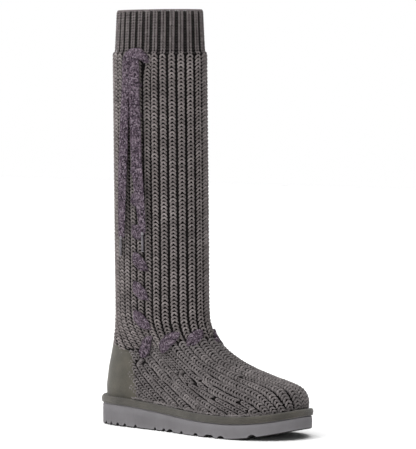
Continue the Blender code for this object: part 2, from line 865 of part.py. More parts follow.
def main():
    clear_scene()
    boot = new_collection("knee_boot")
    cutters = new_collection("cutters", hidden=True)
    carrier = bpy.data.objects.new("last_axis", None)
    boot.objects.link(carrier)
    outline = offset_outline(WELT_MARGIN, COLUMNS)
    middle = (outline.min(axis=0) + outline.max(axis=0)) / 2
    carrier.location = (-middle[0], -middle[1], 0)

    upper = make_upper(boot)
    counter = make_heel_counter(upper, boot, cutters)
    lace = make_lace(upper, boot, cutters)
    lace_ends = {name: placed(route) for name, route in LACE_ENDS.items()}
    drill(upper, [end_hole(route) for route in lace_ends.values()], cutters)
    finish_piece(upper, "rib_knit", carrier, 60)
    finish_piece(counter, "suede", carrier)
    finish_piece(lace, "chenille", carrier)
    finish_piece(make_outsole(boot, cutters), "foam", carrier)
    finish_piece(make_welt(boot), "suede", carrier)
    finish_piece(make_insole(boot), "fleece", carrier)
    for name, route in lace_ends.items():
        end = make_lace_end(f"lace_end_{name}", route, boot)
        end.data.materials.append(material("chenille"))
        end.parent = carrier
        finish_piece(make_aglet(f"aglet_{name}", route, boot), "gunmetal", carrier)
    for cutter in cutters.objects:
        cutter.hide_render = True
        cutter.display_type = "WIRE"
        cutter.parent = carrier


main()
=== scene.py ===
"""The looks of a knee-high knitted boot: its yarn, suede, foam, fleece and lace.

Points are worked out in the last's frame, as in the CAD script: x from the back of the heel to
the toe, y to the inner side of this right boot and z up. new_piece moves them to the boot.
"""

import math

import bpy
import numpy as np
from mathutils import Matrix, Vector


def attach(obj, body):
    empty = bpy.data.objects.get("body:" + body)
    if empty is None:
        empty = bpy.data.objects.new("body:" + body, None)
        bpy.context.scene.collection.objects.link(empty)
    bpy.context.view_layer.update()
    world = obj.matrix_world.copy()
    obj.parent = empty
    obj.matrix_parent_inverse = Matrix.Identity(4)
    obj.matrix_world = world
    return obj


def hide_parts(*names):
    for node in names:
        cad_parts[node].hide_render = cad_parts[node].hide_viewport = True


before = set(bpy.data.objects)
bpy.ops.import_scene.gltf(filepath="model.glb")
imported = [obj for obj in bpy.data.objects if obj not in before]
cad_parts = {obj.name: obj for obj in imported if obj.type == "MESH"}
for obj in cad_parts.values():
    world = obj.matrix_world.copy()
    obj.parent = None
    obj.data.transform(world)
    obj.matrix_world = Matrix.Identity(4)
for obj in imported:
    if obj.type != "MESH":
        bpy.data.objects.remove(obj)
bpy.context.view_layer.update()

# Sizes, in metres

FOOT_LENGTH = 0.266
BALL_WIDTH = 0.091
ANKLE_RISE = 0.096
BOOT_HEIGHT = 0.4735
SHAFT_DEPTH = 0.124
SHAFT_WIDTH = 0.078
SHAFT_SET = 0.0105
SHAFT_LEAN = 0.0035
CUFF_HEIGHT = 0.049
CUFF_STEP = 0.0022
CUFF_TAPER = 0.0022
WALL = 0.0030
RIB_DEPTH = 0.0024
RIM_ROUND = 0.0015
SHAFT_RIBS = 30
GAP = 0.0003
HEEL_STACK = 0.0245
BALL_STACK = 0.0167
TOE_STACK = 0.0140
TOE_SPRING = 0.0115
HEEL_BEVEL = 0.0025
SOLE_MARGIN = 0.0052
SOLE_EDGE = 0.0012
WELT_MARGIN = 0.0065
WELT_HEIGHT = 0.0082
SEEN_TREAD_DEPTH = 0.0033
COUNTER_BACK_HEIGHT = 0.0985
COUNTER_CORNER_HEIGHT = 0.085
COUNTER_CORNER_REACH = 0.050
COUNTER_FOOT_REACH = 0.063
COUNTER_THICKNESS = 0.0020
COUNTER_EDGE_DROP = 0.0009
COUNTER_EDGE_ROUND = 3.0  # millimetres from the open edge
COUNTER_PUFF = 0.0003
LACE_WIDTH = 0.0118
LACE_THICKNESS = 0.0036
LACE_NECK = 0.0048
LACE_ARCH = 0.0008
LACE_CLEAR = 0.0006
LACE_SINK = 0.0007
LACE_LIFT = 0.0005  # over the solid lace, so that its pile covers the loops beside it
LACE_SHOULDER = 0.0042
HOLE_DEPTH = 0.0006
COVERED_BARS = 5
TOP_BAR_LIFT = 0.0025
BAR_SAG = 0.0009  # more for each bar nearer to the cuff, up to three times this
RIBBON_STEP = 0.0011
SIDE_STITCH_PITCH = 0.0336
SIDE_STITCH_DROP = 0.017
SIDE_STITCH_REACH = 0.018
SIDE_TOP_DROP = 0.033
SIDE_FOOT_RISE = 0.014
ANKLE_LINE_FRONT = 0.104
ANKLE_LINE_FALL = 0.17
AGLET_LENGTH = 0.0220
AGLET_DIAMETER = 0.0036
TOE_BREAK = 0.74
HEEL_BREAK = 0.05

FOOTPRINT = (
    # along, outer, inner
    (0.000, 0.000, 0.000),
    (0.045, 0.270, 0.270),
    (0.130, 0.352, 0.352),
    (0.250, 0.372, 0.362),
    (0.420, 0.408, 0.345),
    (0.580, 0.480, 0.412),
    (0.700, 0.508, 0.480),
    (0.820, 0.468, 0.492),
    (0.920, 0.330, 0.425),
    (0.975, 0.160, 0.290),
    (1.000, -0.085, 0.085),
)

FOOT_SECTIONS = (
    # back rise, front rise, back set, front reach, width, round, follow
    (0.000, 0.000, 0.00, 1.000, 1.000, 0.00, 1.0),
    (0.130, 0.120, -0.05, 1.000, 1.010, 0.00, 1.0),
    (0.250, 0.228, 0.05, 0.970, 0.985, 0.02, 1.0),
    (0.370, 0.303, 0.15, 0.910, 0.940, 0.05, 0.9),
    (0.480, 0.362, 0.30, 0.810, 0.890, 0.10, 0.8),
    (0.580, 0.420, 0.45, 0.665, 0.845, 0.20, 0.7),
    (0.680, 0.485, 0.60, 0.495, 0.820, 0.34, 0.6),
    (0.775, 0.570, 0.72, 0.335, 0.800, 0.50, 0.5),
    (0.865, 0.675, 0.84, 0.195, 0.790, 0.66, 0.4),
    (0.950, 0.805, 0.93, 0.088, 0.790, 0.80, 0.3),
    (1.040, 0.955, 0.98, 0.022, 0.800, 0.92, 0.1),
)

WALE_FLOW = (
    # ankle, welt
    (0.00, 0.00),
    (0.30, 0.17),
    (0.42, 0.30),
    (0.50, 0.41),
    (0.60, 0.58),
    (0.70, 0.76),
    (0.77, 0.86),
    (0.87, 0.94),
    (1.00, 1.00),
)

ANKLE_STITCHES = (
    # inner side, start share, start height, end share, end height
    (False, 0.315, 0.785, 0.530, 1.005),
    (False, 0.540, 0.862, 0.772, 1.062),
    (False, 0.802, 0.950, 0.943, 1.080),
    (True, 0.960, 0.975, 0.800, 1.040),
    (True, 0.770, 0.872, 0.560, 1.050),
    (True, 0.525, 0.800, 0.330, 0.990),
)

# How the foot's wales run forward: the shares of the half section, back to front, that each
# wale lies at on the sections at FLOW_PLACES, from the welt's top up to the ankle.
FLOW_PLACES = (1.0, 2.5, 4.0, 5.5, 8.0)
FOOT_FLOW = (
    (0.00, 0.27, 0.42, 0.56, 0.73, 0.81, 0.85, 0.88, 0.905, 0.960, 1.00),
    (0.00, 0.19, 0.335, 0.455, 0.61, 0.71, 0.79, 0.838, 0.872, 0.945, 1.00),
    (0.00, 0.14, 0.27, 0.365, 0.51, 0.585, 0.70, 0.790, 0.850, 0.943, 1.00),
    (0.00, 0.115, 0.235, 0.32, 0.472, 0.560, 0.625, 0.738, 0.829, 0.940, 1.00),
    (0.00, 0.10, 0.20, 0.29, 0.47, 0.568, 0.640, 0.725, 0.800, 0.880, 1.00),
)

TREAD_GROOVES = (
    # along, width, skew
    (0.055, 0.010, 10),
    (0.090, 0.010, 10),
    (0.130, 0.016, 10),
    (0.215, 0.014, -8),
    (0.275, 0.014, -8),
    (0.345, 0.012, 8),
    (0.395, 0.016, 8),
    (0.470, 0.030, -6),
    (0.540, 0.018, -6),
    (0.585, 0.022, 6),
    (0.650, 0.030, 6),
    (0.705, 0.030, -6),
    (0.755, 0.026, -6),
    (0.850, 0.026, 6),
)

# How the ribs bend forward beside the lace: all are turns round the boot but the fall, in
# metres below the cuff.
RIB_BEND = 0.013
BEND_TURN = 0.272
BEND_START = 0.262
BEND_SPREAD = 0.035
BEND_FALL = 0.034

# The lace's free ends, from the hole under the cuff to the metal tip. Each point is in
# metres from where the cuff starts, at the middle of the shaft's outer side.
LACE_ENDS = {
    "rear": (
        (0.0100, 0.0060, -0.0068),
        (0.0100, -0.0006, -0.0066),
        (0.0094, -0.0050, -0.0044),
        (0.0068, -0.0064, -0.0014),
        (0.0016, -0.0068, 0.0002),
        (-0.0045, -0.0068, 0.0002),
        (-0.0104, -0.0066, -0.0012),
        (-0.0142, -0.0062, -0.0044),
        (-0.0160, -0.0056, -0.0088),
        (-0.0167, -0.0051, -0.0150),
        (-0.0171, -0.0047, -0.0250),
        (-0.0177, -0.0045, -0.0410),
        (-0.0187, -0.0043, -0.0610),
        (-0.0199, -0.0041, -0.0830),
        (-0.0211, -0.0039, -0.1050),
        (-0.0223, -0.0037, -0.1270),
        (-0.0233, -0.0035, -0.1480),
        (-0.0241, -0.0033, -0.1690),
        (-0.0247, -0.0031, -0.1890),
        (-0.0251, -0.0030, -0.2080),
    ),
    "front": (
        (-0.0035, 0.0060, -0.0010),
        (-0.0035, -0.0010, -0.0014),
        (-0.0031, -0.0046, -0.0040),
        (-0.0027, -0.0070, -0.0100),
        (-0.0023, -0.0078, -0.0210),
        (-0.0022, -0.0080, -0.0330),
        (-0.0016, -0.0080, -0.0490),
        (-0.0006, -0.0080, -0.0680),
        (0.0001, -0.0080, -0.0880),
        (0.0009, -0.0080, -0.1080),
        (0.0022, -0.0080, -0.1270),
        (0.0041, -0.0080, -0.1460),
        (0.0063, -0.0080, -0.1650),
        (0.0085, -0.0078, -0.1830),
        (0.0107, -0.0076, -0.2020),
    ),
}

# The knit. A stitch's table holds half an arch as (across, up, depth, radius): across is a
# share of its half width, up a share of the spacing of the rows, and the depth below the
# skin of the last and the yarn's radius are millimetres.
ROW_PITCH = 0.00415
FOOT_ROW_PITCH = 0.0039
CUFF_ROW_PITCH = 0.0029
HEM_PITCH = 0.0052
SHAFT_LOOP_HALF = 0.262  # these four are shares of a rib's width
CUFF_LOOP_HALF = 0.092
CUFF_LOOP_SET = 0.165
PURL_HALF = 0.20
CUFF_GROUND_DEPTH = 0.0020
GROUND_DEPTH = 0.0026
FOOT_WALE_WIDTH = 0.0084
FOOT_YARN_WIDTH = 0.0086  # of the wale that the stitch table's radii are for
WALE_GROOVE = 0.00030
LAST_ROLL = 0.048
TOE_FULL_START = 0.205
TOE_FULL_LENGTH = 0.05
TOE_FULLNESS = 0.0020
FOOT_BANDS = (
    # shares of the half turn from back to front at the ankle; each band holds as many
    # wales side by side as have room in it
    *(0.00, 0.10, 0.20, 0.29, 0.38, 0.47, 0.568),
    *(0.64, 0.725, 0.80, 0.88, 0.96, 1.04),
)
SHAFT_STITCH = (
    (1.14, -0.52, 2.6, 0.80),
    (1.10, -0.36, 1.6, 1.06),
    (0.96, -0.10, 0.95, 1.16),
    (0.70, 0.15, 0.65, 1.16),
    (0.37, 0.34, 0.65, 1.08),
    (0.00, 0.40, 0.95, 0.92),
)
FOOT_STITCH = (
    (1.06, -0.56, 2.4, 0.80),
    (1.02, -0.40, 1.5, 1.08),
    (0.88, -0.12, 0.90, 1.20),
    (0.62, 0.14, 0.70, 1.20),
    (0.32, 0.36, 0.75, 1.10),
    (0.00, 0.44, 1.10, 0.92),
)
CUFF_STITCH = (
    (1.00, 0.54, 1.3, 0.42),
    (0.86, 0.26, 0.6, 0.58),
    (0.46, -0.16, 0.30, 0.60),
    (0.00, -0.44, 0.80, 0.48),
)
HEM_STITCH = (
    (0.90, 0.55, 1.6, 0.85),
    (1.05, 0.15, 0.6, 1.10),
    (0.70, -0.28, 0.1, 1.15),
    (0.00, -0.48, 0.1, 1.15),
)


# The last

def unit(vectors):
    return vectors / np.linalg.norm(vectors, axis=-1, keepdims=True)


def run_along(points):
    """The length run at each point of a line, from 0 at its first."""
    steps = np.linalg.norm(np.diff(points, axis=0), axis=1)
    return np.concatenate([[0], np.cumsum(steps)])


def smooth(places, values, at):
    """A smooth curve through (place, value) pairs, read at one place or at many."""
    places = np.asarray(places, float)
    values = np.asarray(values, float)
    slopes = np.gradient(values, places)
    at = np.clip(at, places[0], places[-1])
    span = np.clip(np.searchsorted(places, at, side="right") - 1, 0, len(places) - 2)
    width = places[span + 1] - places[span]
    t = (at - places[span]) / width
    return (
        values[span] * (1 + 2 * t) * (1 - t) ** 2
        + slopes[span] * width * t * (1 - t) ** 2
        + values[span + 1] * t * t * (3 - 2 * t)
        + slopes[span + 1] * width * t * t * (t - 1)
    )


def ease(t):
    """0 to 1 with a soft start and end."""
    t = np.clip(t, 0.0, 1.0)
    return t * t * (3 - 2 * t)


SOLE_LENGTH = FOOT_LENGTH + 2 * SOLE_MARGIN


def sole_share(x):
    return np.clip((np.asarray(x, float) + SOLE_MARGIN) / SOLE_LENGTH, 0.0, 1.0)


def sole_bottom(x):
    """Height of the tread: flat under heel and ball, rising into the toe spring."""
    share = sole_share(x)
    toe = np.clip((share - TOE_BREAK) / (1 - TOE_BREAK), 0, 1)
    heel = np.clip(1 - share / HEEL_BREAK, 0, 1)
    return TOE_SPRING * toe**1.7 + HEEL_BEVEL * heel**2


def sole_top(x):
    """Height of the sole's top, a wedge that is thick at the heel and thin at the ball."""
    share = sole_share(x)
    ball = BALL_STACK + (HEEL_STACK - BALL_STACK) * (1 - ease((share - 0.12) / 0.56))
    toe = ease((share - TOE_BREAK) / (1 - TOE_BREAK))
    spring = TOE_SPRING * np.clip((share - TOE_BREAK) / (1 - TOE_BREAK), 0, 1) ** 1.7
    return spring + ball + (TOE_STACK - BALL_STACK) * toe


def footprint_edge(share, inner):
    """How far the footprint's edge lies from the axis at a share of its length."""
    along = np.array([row[0] for row in FOOTPRINT])
    edge = np.array([row[2] if inner else row[1] for row in FOOTPRINT])
    turn = np.arccos(1 - 2 * along)
    return BALL_WIDTH * smooth(turn, edge, np.arccos(1 - 2 * np.clip(share, 0, 1)))


def sections():
    """All sections from the sole up to the cuff, one row each, as plain numbers."""
    rise = ANKLE_RISE - WELT_HEIGHT
    reach = FOOT_LENGTH - SHAFT_SET - SHAFT_DEPTH
    rows = []
    for back, front, back_set, front_reach, width, turned, follow in FOOT_SECTIONS:
        toe = FOOT_LENGTH - (1 - front_reach) * reach
        heights = (WELT_HEIGHT + back * rise, WELT_HEIGHT + front * rise)
        rows.append((*heights, back_set * SHAFT_SET, toe, width, turned, follow))
    rows.insert(0, (GAP,) * 2 + rows[0][2:])
    start = 1.18 * ANKLE_RISE
    top = BOOT_HEIGHT - CUFF_HEIGHT - HEEL_STACK
    for share in np.linspace(0, 1, 5):
        height = start + (top - start) * share
        back = SHAFT_SET - SHAFT_LEAN * share
        rows.append((height, height, back, back + SHAFT_DEPTH, 0.8, 1.0, 0.0))
    return np.array(rows)


SECTIONS = sections()
LAST_FOOT_SECTION = len(FOOT_SECTIONS)
TOP_SECTION = len(SECTIONS) - 1


def half_section(place, inner):
    """One side of a section from the back to the front, as closely spaced points."""
    index = np.arange(len(SECTIONS))
    row = [float(smooth(index, column, place)) for column in SECTIONS.T]
    back_rise, front_rise, back, front, width, turned, follow = row
    turn = np.linspace(0, math.pi, 181)
    share = (1 - np.cos(turn)) / 2
    side = 1 if inner else -1
    ellipse = side * SHAFT_WIDTH / 2 * np.sin(turn)
    foot = side * width * footprint_edge(share, inner)
    x = back + (front - back) * share
    y = (1 - turned) * foot + turned * ellipse
    base = follow * sole_top(x) + (1 - follow) * HEEL_STACK
    z = base + back_rise + (front_rise - back_rise) * share
    return np.column_stack([x, y, z])


def at_shares(points, shares):
    """Points at these shares of a line's length, measured in plan."""
    run = run_along(points[:, :2])
    return np.column_stack([np.interp(np.asarray(shares) * run[-1], run, c) for c in points.T])


def wale_shares(shares, place):
    """Where wales that start at these shares round the ankle lie on a lower section."""
    start, end = np.array(WALE_FLOW).T
    fallen = np.clip((LAST_FOOT_SECTION - place) / (LAST_FOOT_SECTION - 1), 0, 1)
    return shares + (smooth(start, end, shares) - shares) * fallen


def section_ring(place, columns):
    """A closed section: from the back along the outer side to the front, then back."""
    shares = wale_shares(np.linspace(0, 1, columns // 2 + 1), place)
    outer = at_shares(half_section(place, False), shares)
    inner = at_shares(half_section(place, True), shares)
    return np.vstack([outer[:-1], inner[:0:-1]])


def skin(places, columns):
    """Points and outward normals of the last's surface over a list of places."""
    grid = np.array([section_ring(place, columns) for place in places])
    along = np.roll(grid, -1, axis=1) - np.roll(grid, 1, axis=1)
    up = np.gradient(grid, axis=0)
    up[np.array(places) <= 1] = (0, 0, 1)
    return grid, unit(np.cross(along, up))


def footline(columns):
    """The footprint's outline and its outward directions, both in plan."""
    grid, normals = skin([1, 1.5], columns)
    return grid[0, :, :2], unit(normals[0, :, :2])


def outline(margin, columns):
    """The footprint's outline grown by a margin."""
    line, out = footline(columns)
    return line + out * margin


# The boot stands with the middle of its welt over the origin.
ground = outline(WELT_MARGIN, 90)
MIDDLE = np.array([*(ground.min(0) + ground.max(0)) / 2, 0.0])


# Sheets of the boot's surface, read at a turn round the boot and a share of the way down

class Sheet:
    """A grid of points that goes right round the boot, with its outward normals."""

    def __init__(self, grid):
        self.grid = grid
        along = np.roll(grid, -1, axis=1) - np.roll(grid, 1, axis=1)
        down = np.gradient(grid, axis=0)
        self.normals = unit(np.cross(down, along))
        steps = np.linalg.norm(np.diff(grid, axis=0), axis=2)
        self.lengths = steps.sum(axis=0)

    def read(self, values, turn, down):
        rows, columns = self.grid.shape[:2]
        u = np.mod(turn, 1.0) * columns
        v = np.clip(down, 0, 1) * (rows - 1)
        left = np.floor(u).astype(int) % columns
        top = np.clip(np.floor(v).astype(int), 0, rows - 2)
        right = (left + 1) % columns
        fu = (u - np.floor(u))[..., None]
        fv = (v - top)[..., None]
        upper = values[top, left] * (1 - fu) + values[top, right] * fu
        lower = values[top + 1, left] * (1 - fu) + values[top + 1, right] * fu
        return upper * (1 - fv) + lower * fv

    def at(self, turn, down):
        normals = unit(self.read(self.normals, turn, down))
        return self.read(self.grid, turn, down), normals

    def length(self, turn):
        columns = self.grid.shape[1]
        return np.interp(np.mod(turn, 1) * columns, np.arange(columns), self.lengths)


TOP_HALF_LENGTH = run_along(half_section(TOP_SECTION, False)[:, :2])[-1]


def seam_height(turn):
    """Height of the seam that joins the shaft's knit to the foot's."""
    from_front = np.abs(np.mod(turn, 1.0) - 0.5) * 2 * TOP_HALF_LENGTH
    return ANKLE_LINE_FRONT - ANKLE_LINE_FALL * np.maximum(from_front - SHAFT_WIDTH / 4, 0)


COLUMNS = 720
turns = np.arange(COLUMNS) / COLUMNS
skin_places = np.linspace(1.0, TOP_SECTION, 301)
top_normals = skin([TOP_SECTION - 1, TOP_SECTION], COLUMNS)[1][-1]


def wale_skin():
    """The skin from the cuff down to the welt, in columns that follow the wales."""
    table = np.array(FOOT_FLOW)
    half_turn = np.linspace(0, 1, COLUMNS // 2 + 1)
    grid = []
    for place in skin_places[::-1]:
        row = [float(np.interp(place, FLOW_PLACES, column)) for column in table.T]
        shares = smooth(table[-1], row, half_turn)
        outer = at_shares(half_section(place, False), shares)
        inner = at_shares(half_section(place, True), shares)
        grid.append(np.vstack([outer[:-1], inner[:0:-1]]))
    return np.array(grid)


def between(start, end, rows):
    """Skin points between two heights given for every column, evenly spaced down it."""
    grid = np.zeros((rows, COLUMNS, 3))
    for c in range(COLUMNS):
        column = skin_grid[:, c]
        run = run_along(column)
        ends = [np.interp(-z, -column[:, 2], run) for z in (start[c], end[c])]
        at = np.linspace(*ends, rows)
        for axis in range(3):
            grid[:, c, axis] = np.interp(at, run, column[:, axis])
    return grid


skin_grid = wale_skin()
seam = seam_height(turns)
top = np.full(COLUMNS, BOOT_HEIGHT - CUFF_HEIGHT)
foot_end = skin_grid[-1, :, 2]
shaft_grid = between(top, seam, 161)

# The lace draws the knit in along a trough in front of it, deepest below the cuff, and the
# knit beside it bulges a little.
PULLS = (
    # turn, height, across in turns, tall in metres, depth in metres
    (0.285, 0.372, 0.012, 0.050, 0.0022),
    (0.262, 0.300, 0.010, 0.060, 0.0010),
    (0.280, 0.200, 0.012, 0.060, 0.0008),
    (0.310, 0.330, 0.020, 0.070, -0.0005),
    (0.330, 0.128, 0.030, 0.014, -0.0006),
    (0.400, 0.124, 0.030, 0.014, -0.0006),
    (0.140, 0.240, 0.040, 0.080, -0.0005),
)
shaft_sheet = Sheet(shaft_grid)
for turn, height, across, tall, depth in PULLS:
    near = np.exp(-(((turns - turn) / across) ** 2))[None, :]
    near = near * np.exp(-(((shaft_grid[:, :, 2] - height) / tall) ** 2))
    shaft_grid = shaft_grid - shaft_sheet.normals * (depth * near)[..., None]
shaft_sheet = Sheet(shaft_grid)
foot_sheet = Sheet(between(seam, foot_end, 161))


def cuff_profile():
    """The cuff's skin: up its outside, over the rolled rim and down its inside."""
    base, normals = shaft_sheet.grid[0], top_normals * (1, 1, 0)
    start = BOOT_HEIGHT - CUFF_HEIGHT
    rows = []
    for share in np.linspace(0, 1, 40):
        inset = CUFF_STEP * ease(share * 12) + CUFF_TAPER * share
        rows.append((inset, start + (CUFF_HEIGHT - 2 * RIM_ROUND) * share))
    edge = CUFF_STEP + CUFF_TAPER
    round_half = 0.0021
    for angle in np.linspace(0, math.pi, 13)[1:]:
        across = edge + round_half * (1 - math.cos(angle))
        rows.append((across, BOOT_HEIGHT - 2 * RIM_ROUND + 2.2 * RIM_ROUND * math.sin(angle)))
    for share in np.linspace(0, 1, 20)[1:]:
        rows.append((edge + 2 * round_half, BOOT_HEIGHT - 2 * RIM_ROUND - 0.024 * share))
    grid = []
    for inset, height in rows:
        ring = base - normals * inset
        ring[:, 2] = height
        grid.append(ring)
    return np.array(grid)[::-1]


cuff_grid = cuff_profile()
cuff_sheet = Sheet(cuff_grid)


# Making pieces

def new_piece(name, points, faces, look, degrees=60):
    """A mesh piece from points in the last's frame, moved to where the boot stands."""
    mesh = bpy.data.meshes.new(name)
    mesh.from_pydata((np.asarray(points).reshape(-1, 3) - MIDDLE).tolist(), [], faces)
    mesh.validate()
    obj = bpy.data.objects.new(name, mesh)
    bpy.context.scene.collection.objects.link(obj)
    mesh.materials.append(look)
    mesh.shade_smooth()
    mesh.set_sharp_from_angle(angle=math.radians(degrees))
    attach(obj, "root")
    return obj


def band(rings, closed_along=False, caps=False):
    """Quads between closed rings of equal counts."""
    rows, size = len(rings), len(rings[0])
    faces = []
    for r in range(rows if closed_along else rows - 1):
        after = (r + 1) % rows
        for c in range(size):
            right = (c + 1) % size
            a, b = r * size + c, r * size + right
            faces.append((a, b, after * size + right, after * size + c))
    if caps:
        faces.append(tuple(range(size))[::-1])
        faces.append(tuple((rows - 1) * size + c for c in range(size)))
    return faces


def yarns(name, lines, normals, radii, look, sides=6, flat=0.92, seed=1):
    """Many equal lengths of yarn in one mesh, from (count, steps, 3) lines and normals.

    Each point stores the length along its yarn, the angle round it, and a chance value of
    its own yarn, which the knit's material reads.
    """
    count, steps = lines.shape[:2]
    run = unit(np.gradient(lines, axis=1))
    side = unit(np.cross(run, normals))
    rise = np.cross(side, run)
    angle = np.arange(sides) / sides * 2 * math.pi
    across, above = np.cos(angle), np.sin(angle) * flat
    offsets = side[:, :, None] * across[:, None] + rise[:, :, None] * above[:, None]
    points = lines[:, :, None] + offsets * radii[:, :, None, None]
    ring = np.arange(sides)
    step = np.arange(steps - 1)
    a = step[:, None] * sides + ring
    b = step[:, None] * sides + (ring + 1) % sides
    quads = np.stack([a, a + sides, b + sides, b], axis=-1).reshape(-1, 4)
    starts = np.arange(count) * steps * sides
    faces = (quads[None] + starts[:, None, None]).reshape(-1, 4).tolist()
    first = (starts[:, None] + ring).tolist()
    last = (starts[:, None] + (steps - 1) * sides + ring[::-1]).tolist()
    obj = new_piece(name, points, faces + first + last, look, degrees=80)
    chance = np.random.default_rng(seed)
    lengths = np.linalg.norm(np.diff(lines, axis=1), axis=2)
    along = np.concatenate([np.zeros((count, 1)), np.cumsum(lengths, axis=1)], axis=1)
    along = along + chance.random((count, 1))
    values = np.empty(points.shape)
    values[..., 0] = along[:, :, None]
    values[..., 1] = angle
    values[..., 2] = chance.random((count, 1, 1))
    layer = obj.data.attributes.new("yarn", "FLOAT_VECTOR", "POINT")
    layer.data.foreach_set("vector", values.astype(np.float32).ravel())
    return obj


def arches(shape, half, pitch, wobble, seed):
    """Across, up, depth and radius along loops, each one arch mirrored about its wale."""
    chance = np.random.default_rng(seed)
    table = np.array(shape)
    table = np.concatenate([table[:-1] * (-1, 1, 1, 1), table[::-1]])
    count = (len(half), 1)
    across = table[:, 0] * half[:, None] * (1 + wobble * chance.normal(size=count))
    up = (table[:, 1] + wobble * chance.normal(size=count)) * pitch
    depth = table[:, 2] / 1000 * (1 + 0.8 * wobble * chance.normal(size=count))
    radii = table[:, 3] / 1000 * (1 + 0.5 * wobble * chance.normal(size=count))
    return across, up, depth, radii


def stitch_lines(sheet, turn, down, half, pitch, shape, wobble, seed):
    """Centre lines of loops that follow a sheet's own turns and falls."""
    across, up, depth, radii = arches(shape, half, pitch, wobble, seed)
    lengths = sheet.length(turn)[:, None]
    v = down[:, None] - up / lengths
    points, normals = sheet.at(turn[:, None] + across, v)
    # what reaches past the sheet's end hangs on below it
    points[..., 2] -= np.clip(v - 1, 0, 1) * lengths * 0.6
    return points - normals * depth[..., None], normals, radii


# Materials

def srgb(code):
    """A linear colour from the hex code that a picture shows."""
    parts = [int(code[n : n + 2], 16) / 255 for n in (0, 2, 4)]
    return (*[p / 12.92 if p <= 0.04045 else ((p + 0.055) / 1.055) ** 2.4 for p in parts], 1)


class Look:
    """A material's nodes: add() makes one with its settings and links."""

    def __init__(self, name, roughness, sheen=0.0, metallic=0.0, specular=0.5):
        self.material = bpy.data.materials.new(name)
        self.material.use_nodes = True
        self.nodes = self.material.node_tree.nodes
        self.links = self.material.node_tree.links
        self.shader = self.nodes["Principled BSDF"]
        for socket, value in (
            ("Roughness", roughness),
            ("Metallic", metallic),
            ("Sheen Weight", sheen),
            ("Sheen Roughness", 0.55),
            ("Specular IOR Level", specular),
        ):
            self.shader.inputs[socket].default_value = value

    def add(self, kind, inputs=None, **settings):
        node = self.nodes.new(kind)
        for key, value in settings.items():
            setattr(node, key, value)
        for key, value in (inputs or {}).items():
            if isinstance(value, bpy.types.NodeSocket):
                self.links.new(value, node.inputs[key])
            else:
                node.inputs[key].default_value = value
        return node

    def place(self):
        return self.add("ShaderNodeTexCoord").outputs["Object"]

    def noise(self, vector, millimetres, detail=3.0, rough=0.6):
        inputs = {"Vector": vector, "Scale": 1000 / millimetres, "Detail": detail}
        return self.add("ShaderNodeTexNoise", {**inputs, "Roughness": rough}).outputs["Fac"]

    def math(self, operation, a, b=0.0, c=0.0):
        return self.add("ShaderNodeMath", {0: a, 1: b, 2: c}, operation=operation).outputs[0]

    def times(self, a, factor, plus=0.0):
        return self.math("MULTIPLY_ADD", a, factor, plus)

    def ramp(self, factor, stops):
        node = self.add("ShaderNodeValToRGB", {"Fac": factor})
        elements = node.color_ramp.elements
        while len(elements) < len(stops):
            elements.new(0.5)
        for element, (at, colour) in zip(elements, stops):
            element.position = at
            element.color = srgb(colour)
        return node.outputs["Color"]

    def mix(self, factor, a, b):
        node = self.add("ShaderNodeMix", data_type="RGBA")
        for name, value in (("Factor", factor), ("A", a), ("B", b)):
            socket = next(s for s in node.inputs if s.name == name and s.enabled)
            if isinstance(value, bpy.types.NodeSocket):
                self.links.new(value, socket)
            else:
                socket.default_value = value
        return next(s for s in node.outputs if s.enabled)

    def to(self, socket, value):
        self.links.new(value, self.shader.inputs[socket])

    def bump(self, height, distance, strength=1.0):
        inputs = {"Height": height, "Distance": distance, "Strength": strength}
        return self.add("ShaderNodeBump", inputs).outputs["Normal"]


def knit_look(name, dark, middle, light, sheen):
    """Wool blend yarn: twisted plies, flecked fibres, each stitch a little off in tone."""
    look = Look(name, 0.95, sheen=sheen, specular=0.15)
    where = look.place()
    yarn = look.add("ShaderNodeAttribute", attribute_name="yarn")
    parts = look.add("ShaderNodeSeparateXYZ", {"Vector": yarn.outputs["Vector"]})
    along, round_, chance = parts.outputs
    # plies wind round the yarn, one turn in about 3 mm, and show as slanting threads
    wind = look.times(along, 2 * math.pi / 0.0030)
    wind = look.times(round_, 2.0, wind)
    plies = look.math("SINE", wind)
    # heathered fibres: fine flecks of lighter and darker wool under half a millimetre
    flecks = look.noise(where, 0.7, 4.0, 0.7)
    cloud = look.noise(where, 26.0, 2.0)
    tone = look.times(flecks, 0.55, 0.08)
    tone = look.times(chance, 0.14, tone)
    tone = look.times(cloud, 0.30, tone)
    tone = look.times(plies, 0.05, tone)
    look.to("Base Color", look.ramp(tone, ((0.34, dark), (0.58, middle), (0.82, light))))
    # the fuzz of loose fibres, and the grooves between plies
    fine = look.noise(where, 0.28, 3.0, 0.75)
    height = look.times(plies, 0.35, fine)
    look.to("Normal", look.bump(height, 0.00022, 0.8))
    return look.material


def painted_shade_wall_look():
    """The back of the knit between its loops: close yarn in small ridges, coloured near black as
    painted shade.
    """
    look = Look("knit_ground", 1.0, sheen=0.05, specular=0.05)
    where = look.place()
    grain = look.noise(where, 1.6, 3.0)
    look.to("Base Color", look.ramp(grain, ((0.3, "0b0909"), (0.7, "1c1919"))))
    look.to("Normal", look.bump(grain, 0.0005))
    return look.material


